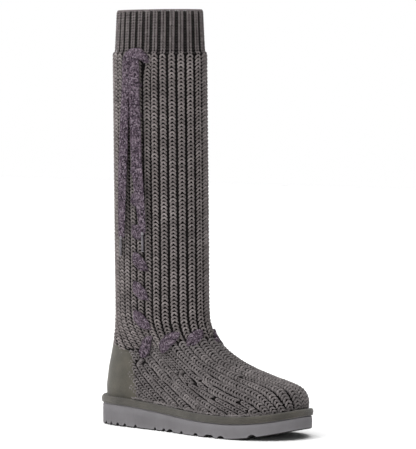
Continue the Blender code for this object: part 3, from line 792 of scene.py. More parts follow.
def suede_look(name, dark, middle, light, grain=0.8):
    """Napped suede: soft clouds where the nap lies either way, over a fine short grain."""
    look = Look(name, 0.93, sheen=0.25, specular=0.12)
    where = look.place()
    cloud = look.noise(where, 17.0, 3.0, 0.55)
    nap = look.noise(where, grain, 4.0, 0.7)
    pores = look.noise(where, 0.35, 2.0, 0.6)
    tone = look.times(cloud, 0.55)
    tone = look.times(nap, 0.60, tone)
    look.to("Base Color", look.ramp(tone, ((0.36, dark), (0.58, middle), (0.80, light))))
    height = look.times(pores, 0.5, nap)
    look.to("Normal", look.bump(height, 0.00028, 0.7))
    look.to("Roughness", look.times(nap, 0.12, 0.86))
    return look.material


def foam_look():
    """Moulded light foam: satin skin, fine pores, scuffed paler along its edge, painted shade
    where it faces down.
    """
    look = Look("moulded_foam", 0.72, specular=0.3)
    where = look.place()
    cloud = look.noise(where, 40.0, 2.0)
    pores = look.noise(where, 0.9, 3.0, 0.6)
    tone = look.times(pores, 0.35, look.math("MULTIPLY", cloud, 0.65))
    colour = look.ramp(tone, ((0.35, "595759"), (0.55, "636163"), (0.75, "6e6c6f")))
    bare = look.add("ShaderNodeNewGeometry").outputs["Pointiness"]
    worn = look.ramp(bare, ((0.49, "000000"), (0.56, "ffffff")))
    colour = look.mix(look.math("MULTIPLY", worn, 0.25), colour, srgb("9a979b"))
    # painted shade: faces that turn down, the tread's underside and its channels, are coloured
    # near black
    faces = look.add("ShaderNodeNewGeometry").outputs["Normal"]
    facing = look.add("ShaderNodeSeparateXYZ", {"Vector": faces}).outputs[2]
    under = look.times(facing, -2.2, -0.35)
    under = look.math("MINIMUM", look.math("MAXIMUM", under, 0.0), 1.0)
    colour = look.mix(under, colour, srgb("1b1a1a"))
    look.to("Base Color", colour)
    look.to("Normal", look.bump(pores, 0.00012, 0.6))
    look.to("Roughness", look.times(pores, 0.25, 0.60))
    return look.material


def chenille_look():
    """Chenille: a short dense pile of purple and grey tufts, flecked dark and lilac."""
    look = Look("chenille_pile", 1.0, sheen=0.06, specular=0.04)
    where = look.place()
    # tufts are drawn a half larger than their real millimetre, so that they show
    tufts = look.add("ShaderNodeTexVoronoi", {"Vector": where, "Scale": 1000 / 1.5})
    cells = look.add("ShaderNodeSeparateColor", {"Color": tufts.outputs["Color"]}).outputs[0]
    fine = look.noise(where, 0.9, 3.0, 0.7)
    cloud = look.noise(where, 7.0, 2.0)
    tone = look.times(cells, 0.50, look.math("MULTIPLY", fine, 0.45))
    tone = look.times(cloud, 0.20, tone)
    stops = ((0.34, "291f28"), (0.50, "5e4d5e"), (0.66, "82707f"), (0.84, "b6a6b4"))
    look.to("Base Color", look.ramp(tone, stops))
    height = look.times(tufts.outputs["Distance"], -700.0, fine)
    look.to("Normal", look.bump(height, 0.0005, 0.8))
    return look.material


def fleece_look(name, dark, light):
    """Curly pile lining: small rolled tufts."""
    look = Look(name, 1.0, sheen=0.4, specular=0.1)
    where = look.place()
    curls = look.noise(where, 4.5, 4.0, 0.65)
    look.to("Base Color", look.ramp(curls, ((0.35, dark), (0.68, light))))
    look.to("Normal", look.bump(curls, 0.0022, 1.0))
    return look.material


def metal_look():
    """Gunmetal tube, brushed along."""
    look = Look("gunmetal_tube", 0.32, metallic=1.0)
    where = look.place()
    streak = look.add("ShaderNodeMapping", {"Vector": where, "Scale": (1.0, 1.0, 0.06)})
    lines = look.noise(streak.outputs[0], 0.25, 3.0)
    look.to("Base Color", look.ramp(lines, ((0.35, "565357"), (0.65, "8d898e"))))
    look.to("Roughness", look.times(lines, 0.12, 0.10))
    look.to("Normal", look.bump(lines, 0.00003, 0.5))
    return look.material


def floor_look():
    """A pale seamless paper floor."""
    look = Look("paper_floor", 0.9, specular=0.1)
    grain = look.noise(look.place(), 6.0, 2.0)
    look.to("Base Color", look.ramp(grain, ((0.3, "fbfbfb"), (0.7, "fefefe"))))
    return look.material


shaft_yarn = knit_look("shaft_wool", "4b4645", "726b6a", "9e9695", 0.08)
foot_yarn = knit_look("foot_wool", "443f3e", "656060", "8e8786", 0.08)
cuff_yarn = knit_look("cuff_wool", "4a4444", "6d6666", "938b8a", 0.08)
# painted shade: the purls sit in the valleys between the cuff's ribs, so the same wool is
# coloured much darker there
purl_yarn_painted_shade = knit_look("purl_wool_painted_shade", "1e1b1b", "302c2c", "474242", 0.05)
# the knit's ground is coloured near black as painted shade in the holes between the loops
ground_painted_shade = painted_shade_wall_look()
lining_look = fleece_look("fleece_lining", "4a4541", "8a817a")
counter_suede = suede_look("counter_suede_nap", "33312b", "444139", "565147")
welt_suede = suede_look("welt_suede_nap", "302e2a", "43403b", "58544c", 0.7)
foam = foam_look()
chenille = chenille_look()
gunmetal = metal_look()


# The knit's ground, closed over the fleece that lines it

def knit_ground():
    """One closed wall: knit outside and round the cuff, coloured near black as painted shade,
    fleece from its rim inwards.
    """
    places = np.concatenate([np.linspace(0, 12, 49), np.linspace(12, TOP_SECTION, 25)[1:]])
    columns = 180
    grid, normals = skin(places, columns)
    every = COLUMNS // columns
    outer = list(grid - normals * GROUND_DEPTH)
    inner = list(grid - normals * (RIB_DEPTH + WALL))
    for side in (outer, inner):
        side[0][:, 2] = grid[0][:, 2]
    cuff = cuff_grid[:, ::every]
    cuff_out = cuff - cuff_sheet.normals[:, ::every] * CUFF_GROUND_DEPTH
    outer += list(cuff_out[::-3])
    middle = (cuff_out[0] + inner[-1]) / 2
    loop = [*outer, cuff_out[0], middle, *inner[::-1]]
    obj = new_piece("knit_ground", loop, band(loop, closed_along=True), ground_painted_shade)
    obj.data.materials.append(lining_look)
    lined = len(outer) + 1
    for face in obj.data.polygons:
        if face.vertices[0] // columns >= lined:
            face.material_index = 1
    return obj


def counter_front(height):
    """How far forward the heel counter reaches at a height, seen from the side."""
    heights = (HEEL_STACK + WELT_HEIGHT, COUNTER_CORNER_HEIGHT)
    return np.interp(height, heights, (COUNTER_FOOT_REACH, COUNTER_CORNER_REACH))


def counter_top(along):
    """How high the heel counter reaches at a distance from the heel's back."""
    heights = (COUNTER_BACK_HEIGHT, COUNTER_BACK_HEIGHT * 0.935, COUNTER_CORNER_HEIGHT)
    return np.interp(along, (0, COUNTER_CORNER_REACH * 0.4, COUNTER_CORNER_REACH), heights)


def inside_counter(points, slack):
    """Whether points lie on the heel counter, further in than the slack."""
    x, z = points[:, 0], points[:, 2]
    return (x < counter_front(z) - slack) & (z < counter_top(x) - slack)


def knit_shaft():
    """Thirty ribs, each a column of arched loops, from the cuff down to the ankle seam."""
    chance = np.random.default_rng(4)
    turn, down = [], []
    for rib in range(SHAFT_RIBS):
        centre = (rib + 0.5) / SHAFT_RIBS
        length = float(shaft_sheet.length(centre))
        rows = int(length / ROW_PITCH)
        shift = chance.random() * 0.5
        turn += [centre] * rows
        down += list((np.arange(rows) + 0.3 + shift) * ROW_PITCH / length)
    turn, down = np.array(turn), np.array(down)
    points = shaft_sheet.at(turn, down)[0]
    keep = ~inside_counter(points, 0.0030)
    turn, down = turn[keep], down[keep]
    half = np.full(len(turn), SHAFT_LOOP_HALF / SHAFT_RIBS)
    fall = down * shaft_sheet.length(turn)
    # beside the lace the ribs bend forward under the cuff
    beside = np.exp(-(((turn - BEND_TURN) / BEND_SPREAD) ** 2)) * (turn > BEND_START)
    turn = turn + RIB_BEND * beside * ease(1 - fall / BEND_FALL)
    shoulder = ease(0.35 + fall / 0.006)
    half = half * (0.72 + 0.28 * shoulder)
    for name, side in (("knit_shaft_outer", turn < 0.5), ("knit_shaft_inner", turn >= 0.5)):
        lines, normals, radii = stitch_lines(
            shaft_sheet, turn[side], down[side], half[side], ROW_PITCH, SHAFT_STITCH, 0.035, 7
        )
        yarns(name, lines, normals, radii, shaft_yarn, seed=11)


def square_width(near, far, down):
    """How wide the foot's knit is between two turns, measured square to its wales."""
    near, far = near + 0 * down, far + 0 * down
    middle = (near + far) / 2
    run = unit(foot_sheet.at(middle, down + 0.01)[0] - foot_sheet.at(middle, down - 0.01)[0])
    across = foot_sheet.at(far, down)[0] - foot_sheet.at(near, down)[0]
    return np.sqrt(np.maximum((across**2).sum(-1) - (across * run).sum(-1) ** 2, 1e-9))


def square_stitches(centres, runs, normals, half, pitch, shape, wobble, seed):
    """Centre lines of loops that stand square to the run of their own wale."""
    across, up, depth, radii = arches(shape, half, pitch, wobble, seed)
    # the last falls away to both sides, as on a roll
    depth = depth + across**2 / (2 * LAST_ROLL)
    # the knit is full over the end of the toe
    toe = ease((centres[:, 0] - TOE_FULL_START) / TOE_FULL_LENGTH) * np.clip(normals[:, 0], 0, 1)
    depth = depth - TOE_FULLNESS * toe[:, None]
    side = unit(np.cross(normals, runs))
    points = centres[:, None] + side[:, None] * across[..., None]
    points = points - runs[:, None] * up[..., None] - normals[:, None] * depth[..., None]
    return points, np.repeat(normals[:, None], points.shape[1], axis=1), radii


def knit_foot():
    """Wales of longer loops that run from the ankle seam forward and down to the welt."""
    chance = np.random.default_rng(8)
    turn, down, step = [], [], []
    edges = np.array(FOOT_BANDS) / 2
    bands = list(zip(edges, edges[1:]))
    bands += [(1 - b, 1 - a) for a, b in bands[:-1]]
    for near, far in bands:
        middle = (near + far) / 2
        rows = max(int(float(foot_sheet.length(middle)) / FOOT_ROW_PITCH), 2)
        at = (np.arange(rows) + 0.25 + 0.35 * chance.random()) / rows
        room = square_width(near, far, at)
        # over the instep a wale may spread wider before another starts beside it
        spread = 0.36 if 0.3 < near < 0.69 else -0.3 if 0.23 < near < 0.3 else 0.0
        count = np.maximum(np.round(room / FOOT_WALE_WIDTH - spread), 1)
        for k in range(int(count.max())):
            has = count > k
            turn += list(near + (far - near) * (k + 0.5) / count[has])
            step += list((far - near) / 2 / count[has])
            down += list(at[has])
    turn, down, step = np.array(turn), np.array(down), np.array(step)
    points = foot_sheet.at(turn, down)[0]
    keep = ~inside_counter(points, 0.007)
    turn, down, step = turn[keep], down[keep], step[keep]
    wale_run = unit(foot_sheet.at(turn, down + 0.01)[0] - foot_sheet.at(turn, down - 0.01)[0])
    square = square_width(turn - step, turn + step, down)
    width = np.clip(square / FOOT_YARN_WIDTH, 0.76, 1.30)
    half = square / 2 - 0.00112 * width - WALE_GROOVE
    centres, tops = foot_sheet.at(turn, down)
    for name, side in (("knit_foot_outer", turn < 0.5), ("knit_foot_inner", turn >= 0.5)):
        lines, normals, radii = square_stitches(
            *(centres[side], wale_run[side], tops[side], half[side]),
            *(FOOT_ROW_PITCH, FOOT_STITCH, 0.04, 9),
        )
        yarns(name, lines, normals, radii * width[side, None], foot_yarn, seed=12)


def knit_hem():
    """Uneven loops where the foot's knit is sewn down behind the welt."""
    chance = np.random.default_rng(17)
    end = foot_sheet.grid[-1]
    run = run_along(np.vstack([end, end[:1]]))
    at = np.arange(0, run[-1], HEM_PITCH)
    at = at + chance.normal(size=len(at)) * 0.0007
    turn = np.mod(np.interp(at, run, np.arange(COLUMNS + 1) / COLUMNS), 1.0)
    keep = ~inside_counter(foot_sheet.at(turn, np.full(len(turn), 0.99))[0], 0.004)
    turn = turn[keep]
    length = foot_sheet.length(turn)
    down = 1 - (0.0024 + 0.0018 * chance.random(len(turn))) / length
    ahead = foot_sheet.at(turn + 0.004, down)[0] - foot_sheet.at(turn - 0.004, down)[0]
    half = 0.0021 / (np.linalg.norm(ahead, axis=1) / 0.008)
    lines, normals, radii = stitch_lines(
        foot_sheet, turn, down, half, 0.0046, HEM_STITCH, 0.12, 18
    )
    yarns("knit_hem", lines, normals, radii, foot_yarn, seed=19)


def knit_cuff():
    """The cuff's fine ribs: pairs of narrow wales, with small purl bumps between them."""
    length = float(cuff_sheet.length(0.25))
    rows = int(length / CUFF_ROW_PITCH)
    places = (np.arange(rows) + 0.5) / rows
    turn, down = [], []
    for rib in range(SHAFT_RIBS):
        for side in (-1, 1):
            turn += [(rib + 0.5 + CUFF_LOOP_SET * side) / SHAFT_RIBS] * rows
            down += list(places)
    turn, down = np.array(turn), np.array(down)
    half = np.full(len(turn), CUFF_LOOP_HALF / SHAFT_RIBS)
    lines, normals, radii = stitch_lines(
        cuff_sheet, turn, down, half, CUFF_ROW_PITCH, CUFF_STITCH, 0.03, 10
    )
    yarns("knit_cuff", lines, normals, radii, cuff_yarn, sides=5, seed=13)
    turn = np.repeat(np.arange(SHAFT_RIBS) / SHAFT_RIBS, rows)
    down = np.tile(places, SHAFT_RIBS)
    bar = ((1.0, -0.1, 2.6, 0.45), (0.55, 0.0, 2.1, 0.6), (0.0, 0.1, 1.9, 0.65))
    half = np.full(len(turn), PURL_HALF / SHAFT_RIBS)
    lines, normals, radii = stitch_lines(
        cuff_sheet, turn, down, half, CUFF_ROW_PITCH, bar, 0.05, 14
    )
    yarns("knit_cuff_purls", lines, normals, radii, purl_yarn_painted_shade, sides=5, seed=15)


def knit_rim():
    """The cast-off edge: short loops that lie over the rim one after another."""
    count = SHAFT_RIBS * 4
    turn = (np.arange(count) + 0.5) / count
    middle = 25.0 / (len(cuff_grid) - 1)
    steps = np.array([-1.0, -0.5, 0.0, 0.5, 1.0])
    around = turn[:, None] + steps * 0.62 / count
    points, normals = cuff_sheet.at(around, middle + steps * 0.030)
    depth = np.array([1.3, 0.45, 0.2, 0.45, 1.3]) / 1000
    lines = points - normals * depth[None, :, None]
    radii = np.broadcast_to(np.array([0.6, 0.85, 0.95, 0.85, 0.6]) / 1000, around.shape)
    yarns("knit_rim", lines, normals, radii, cuff_yarn, seed=23)


ground_piece = knit_ground()
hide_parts("upper")
knit_shaft()
knit_foot()
knit_hem()
knit_cuff()
knit_rim()


# Suede: the heel counter and the welt

def counter_side(inner):
    """The counter's skin on one side, rows of points from the welt to its top edge."""
    places = np.linspace(0.7, LAST_FOOT_SECTION + 1, 120)
    halves = []
    for place in places:
        half = half_section(place, inner)
        inside = int(np.argmax(half[:, 0] > counter_front(half[:, 2])))
        halves.append(at_shares(half[: inside + 1], np.linspace(0, 1, 25)))
    halves = np.array(halves)
    columns = []
    for c in range(25):
        column = halves[:, c]
        end = float(np.interp(0, column[:, 2] - counter_top(column[:, 0]), places))
        at = np.linspace(places[0], end, 30)
        columns.append([[np.interp(a, places, column[:, k]) for k in range(3)] for a in at])
    return np.array(columns).transpose(1, 0, 2)


def heel_counter():
    """One soft skin of suede, its open edge rounded over and drawn under the knit."""
    outer, inner = counter_side(False), counter_side(True)
    grid = np.concatenate([outer[:, ::-1], inner[:, 1:]], axis=1)
    normals = unit(np.cross(np.gradient(grid, axis=0), np.gradient(grid, axis=1)))
    rows, columns = grid.shape[:2]
    # about how many millimetres each point lies from the open edge
    side = np.minimum(np.arange(columns), np.arange(columns)[::-1])[None, :] * 2.2
    high = np.arange(rows)[::-1][:, None] * 2.4
    inward = np.minimum(side, high)
    near = np.clip(inward / COUNTER_EDGE_ROUND, 0, 1)
    drop = COUNTER_EDGE_DROP * (1 - np.sqrt(np.clip(1 - (1 - near) ** 2, 0, 1)))
    puff = COUNTER_PUFF * ease(inward / 20)
    front = grid + normals * (puff - drop)[..., None]
    back = grid - normals * COUNTER_THICKNESS
    size = rows * columns
    faces = []
    for r in range(rows - 1):
        for c in range(columns - 1):
            a, b = r * columns + c, (r + 1) * columns + c
            faces.append((a, b, b + 1, a + 1))
            faces.append((size + a, size + a + 1, size + b + 1, size + b))
    rim = list(range(columns))
    rim += [r * columns + columns - 1 for r in range(1, rows)]
    rim += [(rows - 1) * columns + c for c in range(columns - 2, -1, -1)]
    rim += [r * columns for r in range(rows - 2, 0, -1)]
    for a, b in zip(rim, rim[1:] + rim[:1]):
        faces.append((a, b, size + b, size + a))
    points = np.concatenate([front.reshape(-1, 3), back.reshape(-1, 3)])
    return new_piece("suede_counter", points, faces, counter_suede, degrees=50)


def welt():
    """Suede wrapped round the welt, full at the sides, with a groove low on its outside."""
    columns = 360
    section = (
        # margin, height, both in millimetres
        (0.3, 0.3),
        (5.2, 0.3),
        (6.1, 0.8),
        (6.45, 1.6),
        (6.2, 2.1),
        (6.5, 2.7),
        (6.75, 3.8),
        (6.75, 5.2),
        (6.5, 6.5),
        (5.8, 7.6),
        (4.7, 8.3),
        (3.2, 8.5),
        (1.6, 8.2),
        (0.5, 7.2),
        (0.3, 5.0),
    )
    base, out = footline(columns)
    chance = np.random.default_rng(21)
    wave = np.zeros(columns)
    at = np.arange(columns) / columns * 2 * math.pi
    for n in range(5, 40):
        wave += chance.normal() / n * np.sin(n * at + chance.random() * 6)
    rings = []
    for margin, height in section:
        soft = 1 + 0.02 * wave * (height > 2)
        flat = base + out * (margin / 1000 * np.minimum(soft, 1.04))[:, None]
        z = sole_top(flat[:, 0]) + height / 1000 * (1 + 0.015 * wave * (height > 2))
        rings.append(np.column_stack([flat, z]))
    return new_piece("suede_welt", rings, band(rings, closed_along=True), welt_suede)


def heel_stitching():
    """The row of short threads on the welt's ledge, round the heel from side to side."""
    columns = 720
    loop = outline(0.0045, columns)
    run = run_along(np.vstack([loop, loop[:1]]))
    forward = np.arange(0.002, 0.110, 0.0036)
    starts = np.concatenate([forward, run[-1] - forward])
    lines, normals = [], []
    for start in starts:
        at = np.mod(start + np.linspace(-0.0013, 0.0013, 5), run[-1])
        x = np.interp(at, run[:-1], loop[:, 0])
        y = np.interp(at, run[:-1], loop[:, 1])
        lift = np.array([-0.0004, 0.0001, 0.0002, 0.0001, -0.0004])
        lines.append(np.column_stack([x, y, sole_top(x) + 0.0083 + lift]))
        normals.append(np.tile((0.0, 0.0, 1.0), (5, 1)))
    lines, normals = np.array(lines), np.array(normals)
    radii = np.full(lines.shape[:2], 0.00038)
    return yarns("welt_stitches", lines, normals, radii, welt_suede, seed=22)


def sole():
    """The moulded sole: its tread's channels show as half-round notches at the edge."""
    columns = 560
    half = columns // 2
    side = outline(SOLE_MARGIN, columns)
    low_edge = outline(SOLE_MARGIN - SOLE_EDGE, columns)

    def groove(x, y):
        cut = np.zeros_like(x)
        for along, width, skew in TREAD_GROOVES:
            centre = along * SOLE_LENGTH - SOLE_MARGIN - y * math.tan(math.radians(skew))
            off = (x - centre) / (width * SOLE_LENGTH * 0.55)
            cut = np.maximum(cut, np.sqrt(np.clip(1 - off**2, 0, 1)))
        return SEEN_TREAD_DEPTH * cut

    rings = []
    middle = np.array([FOOT_LENGTH / 2, 0.0])
    for n in range(half + 1):
        far = -n % columns
        a, b = low_edge[n], low_edge[far]
        ring = []
        for share in np.linspace(0, 1, 13):
            x, y = a + (b - a) * share
            if n in (0, half):
                y = y + (share - 0.5) * 0.0002
            ring.append((x, y, sole_bottom(x) + groove(np.array(x), np.array(y))))
        walls = []
        for place in (n, far):
            x, y = side[place]
            bottom = sole_bottom(x) + groove(np.array(x), np.array(y)) * 0.9
            top = float(sole_top(x))
            wall = []
            for share in (0.06, 0.3, 0.6, 0.92):
                bulge = 0.0002 * math.sin(math.pi * share)
                grow = 1 + bulge / np.linalg.norm(side[place] - middle)
                point = middle + (side[place] - middle) * grow
                wall.append((*point, bottom + (top - bottom) * share))
            wall.append((*low_edge[place], top - 0.0001))
            walls.append(wall)
        ring += walls[1] + walls[0][::-1]
        rings.append(ring)
    return new_piece("foam_sole", rings, band(rings, caps=True), foam, degrees=35)


for piece, node, slot_name in (
    (heel_counter(), "heel_counter", "counter_suede"),
    (welt(), "welt", "welt_suede"),
    (sole(), "outsole", "foam"),
):
    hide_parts(node)
heel_stitching()
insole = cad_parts["insole"]
insole.data.materials.clear()
insole.data.materials.append(lining_look)


# The lace

def point_on_skin(share, inner, height, stand_off=0.0):
    """A point on the last and its normal, by its share from back to front and height."""
    places = np.linspace(3, TOP_SECTION, 12 * TOP_SECTION + 1)
    key = (round(share, 6), inner)
    if key not in point_on_skin.columns:
        point_on_skin.columns[key] = np.array(
            [at_shares(half_section(p, inner), [share])[0] for p in places]
        )
    column = point_on_skin.columns[key]
    place = float(np.interp(height, column[:, 2], places))
    here = at_shares(half_section(place, inner), [share])[0]
    ends = at_shares(half_section(place, inner), [max(share - 0.02, 0), min(share + 0.02, 1)])
    low = at_shares(half_section(place - 0.02, inner), [share])[0]
    high = at_shares(half_section(min(place + 0.02, TOP_SECTION), inner), [share])[0]
    normal = np.cross(ends[1] - ends[0], high - low)
    normal /= np.linalg.norm(normal) * (-1 if inner else 1)
    return here + stand_off * normal, normal


point_on_skin.columns = {}


def level(direction, normal):
    """A direction laid flat on the skin that has this normal."""
    return unit(direction - normal * np.dot(direction, normal))


def side_bars():
    """Ends of the bars down the outer side: each runs down and forward."""
    reach = SIDE_STITCH_REACH / 2 / TOP_HALF_LENGTH
    first = BOOT_HEIGHT - CUFF_HEIGHT - SIDE_TOP_DROP + TOP_BAR_LIFT
    count = int((first - ANKLE_LINE_FRONT - SIDE_FOOT_RISE) / SIDE_STITCH_PITCH) + 1
    drop = SIDE_STITCH_DROP / 2
    bars = []
    for n in range(count):
        height = first - n * SIDE_STITCH_PITCH
        shift, keep = 0.006, 1.0
        # the upper bars lie drawn in behind the lace's hanging end, the next one partly
        if n <= COVERED_BARS:
            shift, keep = (-0.022, 0.6) if n < COVERED_BARS else (-0.010, 0.8)
        # and from there down they hang a little low in their holes
        if n >= COVERED_BARS:
            height -= BAR_SAG * min(3, count - n)
        back, front = 0.5 + shift - reach * keep, 0.5 + shift + reach * keep
        bars.append(((back, False, height + drop * keep), (front, False, height - drop * keep)))
    return bars


def ankle_bars():
    """Ends of the bars round the ankle, from the outer side over the front."""
    rise = ANKLE_LINE_FRONT
    return [
        ((start, inner, low * rise), (end, inner, high * rise))
        for inner, start, low, end, high in ANKLE_STITCHES
    ]


def lace_stops(bars):
    """Centres, up directions and half sizes of the lace, over each bar and inside."""
    thick, neck = LACE_THICKNESS / 2, LACE_NECK / 2
    outside = thick - LACE_SINK + LACE_LIFT
    inside = RIB_DEPTH + WALL + 2.5 * LACE_CLEAR + thick
    bend = 0.8 * neck
    stops = []
    last = None
    for start, end in bars:
        (p, n_p), (q, n_q) = point_on_skin(*start), point_on_skin(*end)
        run_p, run_q = level(q - p, n_p), level(q - p, n_q)
        if last is not None:
            before, n_b = last
            back, on = level(p - before, n_b), level(p - before, n_p)
            turned = inside - thick - bend / 2
            stops += [
                (before - n_b * turned, back, neck, neck),
                (before - n_b * inside + back * 2 * bend, n_b, neck, thick),
                (p - n_p * inside - on * 2 * bend, n_p, neck, thick),
                (p - n_p * turned, -on, neck, neck),
            ]
        out = p + n_p * outside * 0.75 + run_p * bend
        stops.append((p - n_p * HOLE_DEPTH, -run_p, neck * 0.9, neck * 0.9))
        stops.append((out, unit(n_p - run_p), LACE_SHOULDER, thick))
        for share in (0.25, 0.5, 0.75):
            mix = tuple(a + (b - a) * share for a, b in zip(start, end))
            side = end[1] if share > 0.5 else start[1]
            arch = LACE_ARCH * math.sin(math.pi * share)
            # the bars over the instep lie deeper in the knit
            sunk = 0.0026 * ease((mix[0] - 0.68) / 0.1)
            middle, normal = point_on_skin(mix[0], side, mix[2], outside + arch - sunk)
            wide = LACE_WIDTH * (0.60 if share == 0.5 else 0.56)
            stops.append((middle, normal, wide, thick * 1.15))
        down = q + n_q * outside * 0.75 - run_q * bend
        stops.append((down, unit(n_q + run_q), LACE_SHOULDER, thick))
        stops.append((q - n_q * HOLE_DEPTH, run_q, neck * 0.9, neck * 0.9))
        last = (q, n_q)
    return stops


def ribbon(name, centres, ups, half_widths, half_thicks, seed):
    """A plush ribbon along a smooth line through its centres, its pile a little uneven."""
    centres, ups = np.array(centres), np.array(ups)
    around = 20
    run = run_along(centres)
    at = np.linspace(0, run[-1], int(run[-1] / RIBBON_STEP) + 1)
    line = np.column_stack([smooth(run, c, at) for c in centres.T])
    up = np.column_stack([np.interp(at, run, c) for c in ups.T])
    wide, thick = smooth(run, half_widths, at), smooth(run, half_thicks, at)
    forward = unit(np.gradient(line, axis=0))
    side = unit(np.cross(forward, up))
    up = unit(np.cross(side, forward))
    angle = np.arange(around) / around * 2 * math.pi
    cos, sin = np.cos(angle), np.sin(angle)
    across = np.sign(cos) * np.abs(cos) ** 0.9
    above = np.sign(sin) * np.abs(sin) ** 0.9
    chance = np.random.default_rng(seed)
    pile = chance.normal(size=(len(at), around))
    pile = 0.6 * pile + 0.2 * (np.roll(pile, 1, axis=1) + np.roll(pile, 1, axis=0))
    size = 1 + 0.02 * np.clip(pile, -2, 2)
    size[[0, -1]] = 0.75
    offset = side[:, None] * (across * wide[:, None] * size)[..., None]
    offset = offset - up[:, None] * (above * thick[:, None] * size)[..., None]
    rings = line[:, None] + offset
    obj = new_piece(name, rings, band(rings, caps=True), chenille, degrees=180)
    return obj, line, forward


def lace_band():
    """The woven part of the lace, in one piece down the side and round the ankle."""
    stops = lace_stops([*side_bars(), *ankle_bars()])
    centres, ups, wide, thick = zip(*stops)
    obj = ribbon("chenille_lace", centres, ups, wide, thick, seed=31)[0]
    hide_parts("lace")


def aglet(name, tip, forward):
    """A crimped metal tube: rolled rims, a shallow crimp near the lace, a hollow end."""
    radius = AGLET_DIAMETER / 2
    profile = (
        # along as a share of the length, radius as a share of the tube's
        (0.00, 0.72),
        (0.00, 0.96),
        (0.012, 1.06),
        (0.030, 1.07),
        (0.045, 1.00),
        (0.11, 0.99),
        (0.13, 0.90),
        (0.155, 0.90),
        (0.175, 0.99),
        (0.50, 1.00),
        (0.95, 1.00),
        (0.965, 1.06),
        (0.985, 1.06),
        (1.00, 0.97),
        (1.00, 0.78),
        (0.97, 0.74),
        (0.93, 0.70),
    )
    guide = np.array([0.0, -1.0, 0.0])
    side = unit(np.cross(forward, guide))
    up = np.cross(side, forward)
    angle = np.arange(36) / 36 * 2 * math.pi
    rings = []
    for along, wide in profile:
        centre = tip + forward * (along * AGLET_LENGTH)
        around = np.cos(angle)[:, None] * side - np.sin(angle)[:, None] * up
        rings.append(centre + around * radius * wide)
    obj = new_piece(name, rings, band(rings, caps=True), gunmetal, degrees=40)
    return obj


ORIGIN = np.array([SHAFT_SET + SHAFT_DEPTH / 2, -SHAFT_WIDTH / 2, BOOT_HEIGHT - CUFF_HEIGHT])
LACE_SHAPES = {
    # half widths in millimetres and turns of the flat side in degrees, along the end
    "rear": ((0, 0.06, 0.2, 0.5, 0.8, 1), (3.4, 5.4, 5.2, 5.9, 6.2, 4.3), (0, 0, 6, -6, 8, 0)),
    "front": (
        (0, 0.1, 0.3, 0.55, 0.8, 1),
        (4.4, 6.0, 6.2, 6.2, 6.3, 4.3),
        (0, -22, -30, -24, -4, 0),
    ),
}


def lace_end(key):
    """A free end of the lace, flat against the shaft, with its aglet."""
    points = np.array(LACE_ENDS[key]) + ORIGIN
    share = run_along(points)
    share = share / share[-1]
    at, wide, turn = LACE_SHAPES[key]
    run = unit(np.gradient(points, axis=0))
    away = np.array([0.0, -1.0, 0.0])
    ups = []
    for n in range(len(points)):
        out = away
        if share[n] < (0.06 if key == "front" else 0.02):
            out = unit(np.array([0.3, -1.0, 1.2]))
        elif key == "rear" and share[n] < 0.2:
            out = unit(np.array([0.0, -1.0, 0.2]))
        angle = math.radians(float(np.interp(share[n], at, turn)))
        side = unit(np.cross(run[n], out))
        up = np.cross(side, run[n])
        ups.append(up * math.cos(angle) + side * math.sin(angle))
    half = smooth(at, wide, share) / 1000
    thick = np.interp(share, (0, 0.06, 0.9, 1), (2.2, 1.7, 1.6, 1.5)) / 1000
    obj, line, forward = ribbon(f"chenille_end_{key}", points, ups, half, thick, 40 + len(key))
    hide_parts(f"lace_end_{key}")
    # the metal's weight hangs it plumb, just clear of the loops
    hang = unit(forward[-1] + np.array([0.0, 0.0, -3.0]))
    top = line[-1] - forward[-1] * 0.0014 + away * 0.0007
    tube = aglet(f"metal_tip_{key}", top, hang)
    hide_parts(f"aglet_{key}")


lace_band()
lace_end("rear")
lace_end("front")


# Floor, light and camera

# The lens looks from the boot's outer side, a little to its front and just above its foot.
YAW = 0.67643
PITCH = 0.05191
DISTANCE = 2.95
RISE = 0.38362
SLIDE = 0.05225
FOCAL_PIXELS = 2590.65
PICTURE = (416, 449)

bpy.ops.object.select_all(action="DESELECT")
bpy.ops.mesh.primitive_grid_add(x_subdivisions=8, y_subdivisions=8, size=12.0)
floor = bpy.context.object
floor.name = "studio_floor"
floor.data.materials.append(floor_look())

world = bpy.data.worlds.new("studio")
bpy.context.scene.world = world
world.use_nodes = True
sky = world.node_tree
direction = sky.nodes.new("ShaderNodeTexCoord").outputs["Generated"]
parts = sky.nodes.new("ShaderNodeSeparateXYZ")
sky.links.new(direction, parts.inputs[0])
bands = sky.nodes.new("ShaderNodeValToRGB")
bands.color_ramp.elements.new(0.5)
bands.color_ramp.elements.new(0.5)
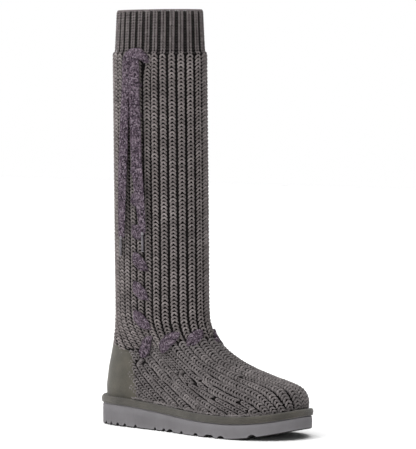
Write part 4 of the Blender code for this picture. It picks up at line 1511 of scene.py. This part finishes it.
# white at the horizon, dimmer above it, and bright overhead like a wide soft light
for element, (at, value) in zip(
    bands.color_ramp.elements, ((0.16, 1.0), (0.30, 0.45), (0.70, 0.60), (0.92, 2.9))
):
    element.position = at
    element.color = (value, value, value, 1)
sky.links.new(parts.outputs["Z"], bands.inputs["Fac"])
# and dimmer on the side that the toe points to, as beside a window
sideways = sky.nodes.new("ShaderNodeVectorMath")
sideways.operation = "DOT_PRODUCT"
sideways.inputs[1].default_value = (math.cos(YAW), math.sin(YAW), 0)
sky.links.new(direction, sideways.inputs[0])
dim = sky.nodes.new("ShaderNodeMapRange")
for socket, value in (("From Min", 0.10), ("From Max", 0.7), ("To Min", 1.0), ("To Max", 0.12)):
    dim.inputs[socket].default_value = value
sky.links.new(sideways.outputs["Value"], dim.inputs["Value"])
sky.links.new(bands.outputs["Color"], sky.nodes["Background"].inputs["Color"])
sky.links.new(dim.outputs[0], sky.nodes["Background"].inputs["Strength"])


def softbox(name, place, aim, size, power):
    data = bpy.data.lights.new(name, "AREA")
    data.shape = "RECTANGLE"
    data.size, data.size_y = size
    data.energy = power
    obj = bpy.data.objects.new(name, data)
    bpy.context.scene.collection.objects.link(obj)
    obj.location = place
    obj.rotation_euler = (Vector(aim) - Vector(place)).to_track_quat("-Z", "Y").to_euler()


softbox("key_light", (-0.9, -2.4, 2.4), (0, 0, 0.2), (1.6, 1.6), 60)
softbox("fill_light", (1.9, -1.9, 1.0), (0, 0, 0.25), (1.2, 1.6), 2)
softbox("back_light", (-0.4, 2.2, 1.8), (0, 0, 0.2), (1.6, 1.0), 8)

toward = Vector((math.sin(YAW), -math.cos(YAW), 0))
right = Vector((math.cos(YAW), math.sin(YAW), 0))
lens = bpy.data.cameras.new("camera")
lens.sensor_width = 36.0
lens.lens = FOCAL_PIXELS * 36.0 / max(PICTURE)
camera = bpy.data.objects.new("camera", lens)
bpy.context.scene.collection.objects.link(camera)
camera.location = Vector((-0.06, 0, RISE)) + toward * DISTANCE + right * SLIDE
look_at = -toward * math.cos(PITCH) - Vector((0, 0, math.sin(PITCH)))
camera.rotation_euler = look_at.to_track_quat("-Z", "Y").to_euler()
bpy.context.scene.camera = camera
bpy.context.scene.view_settings.view_transform = "Standard"
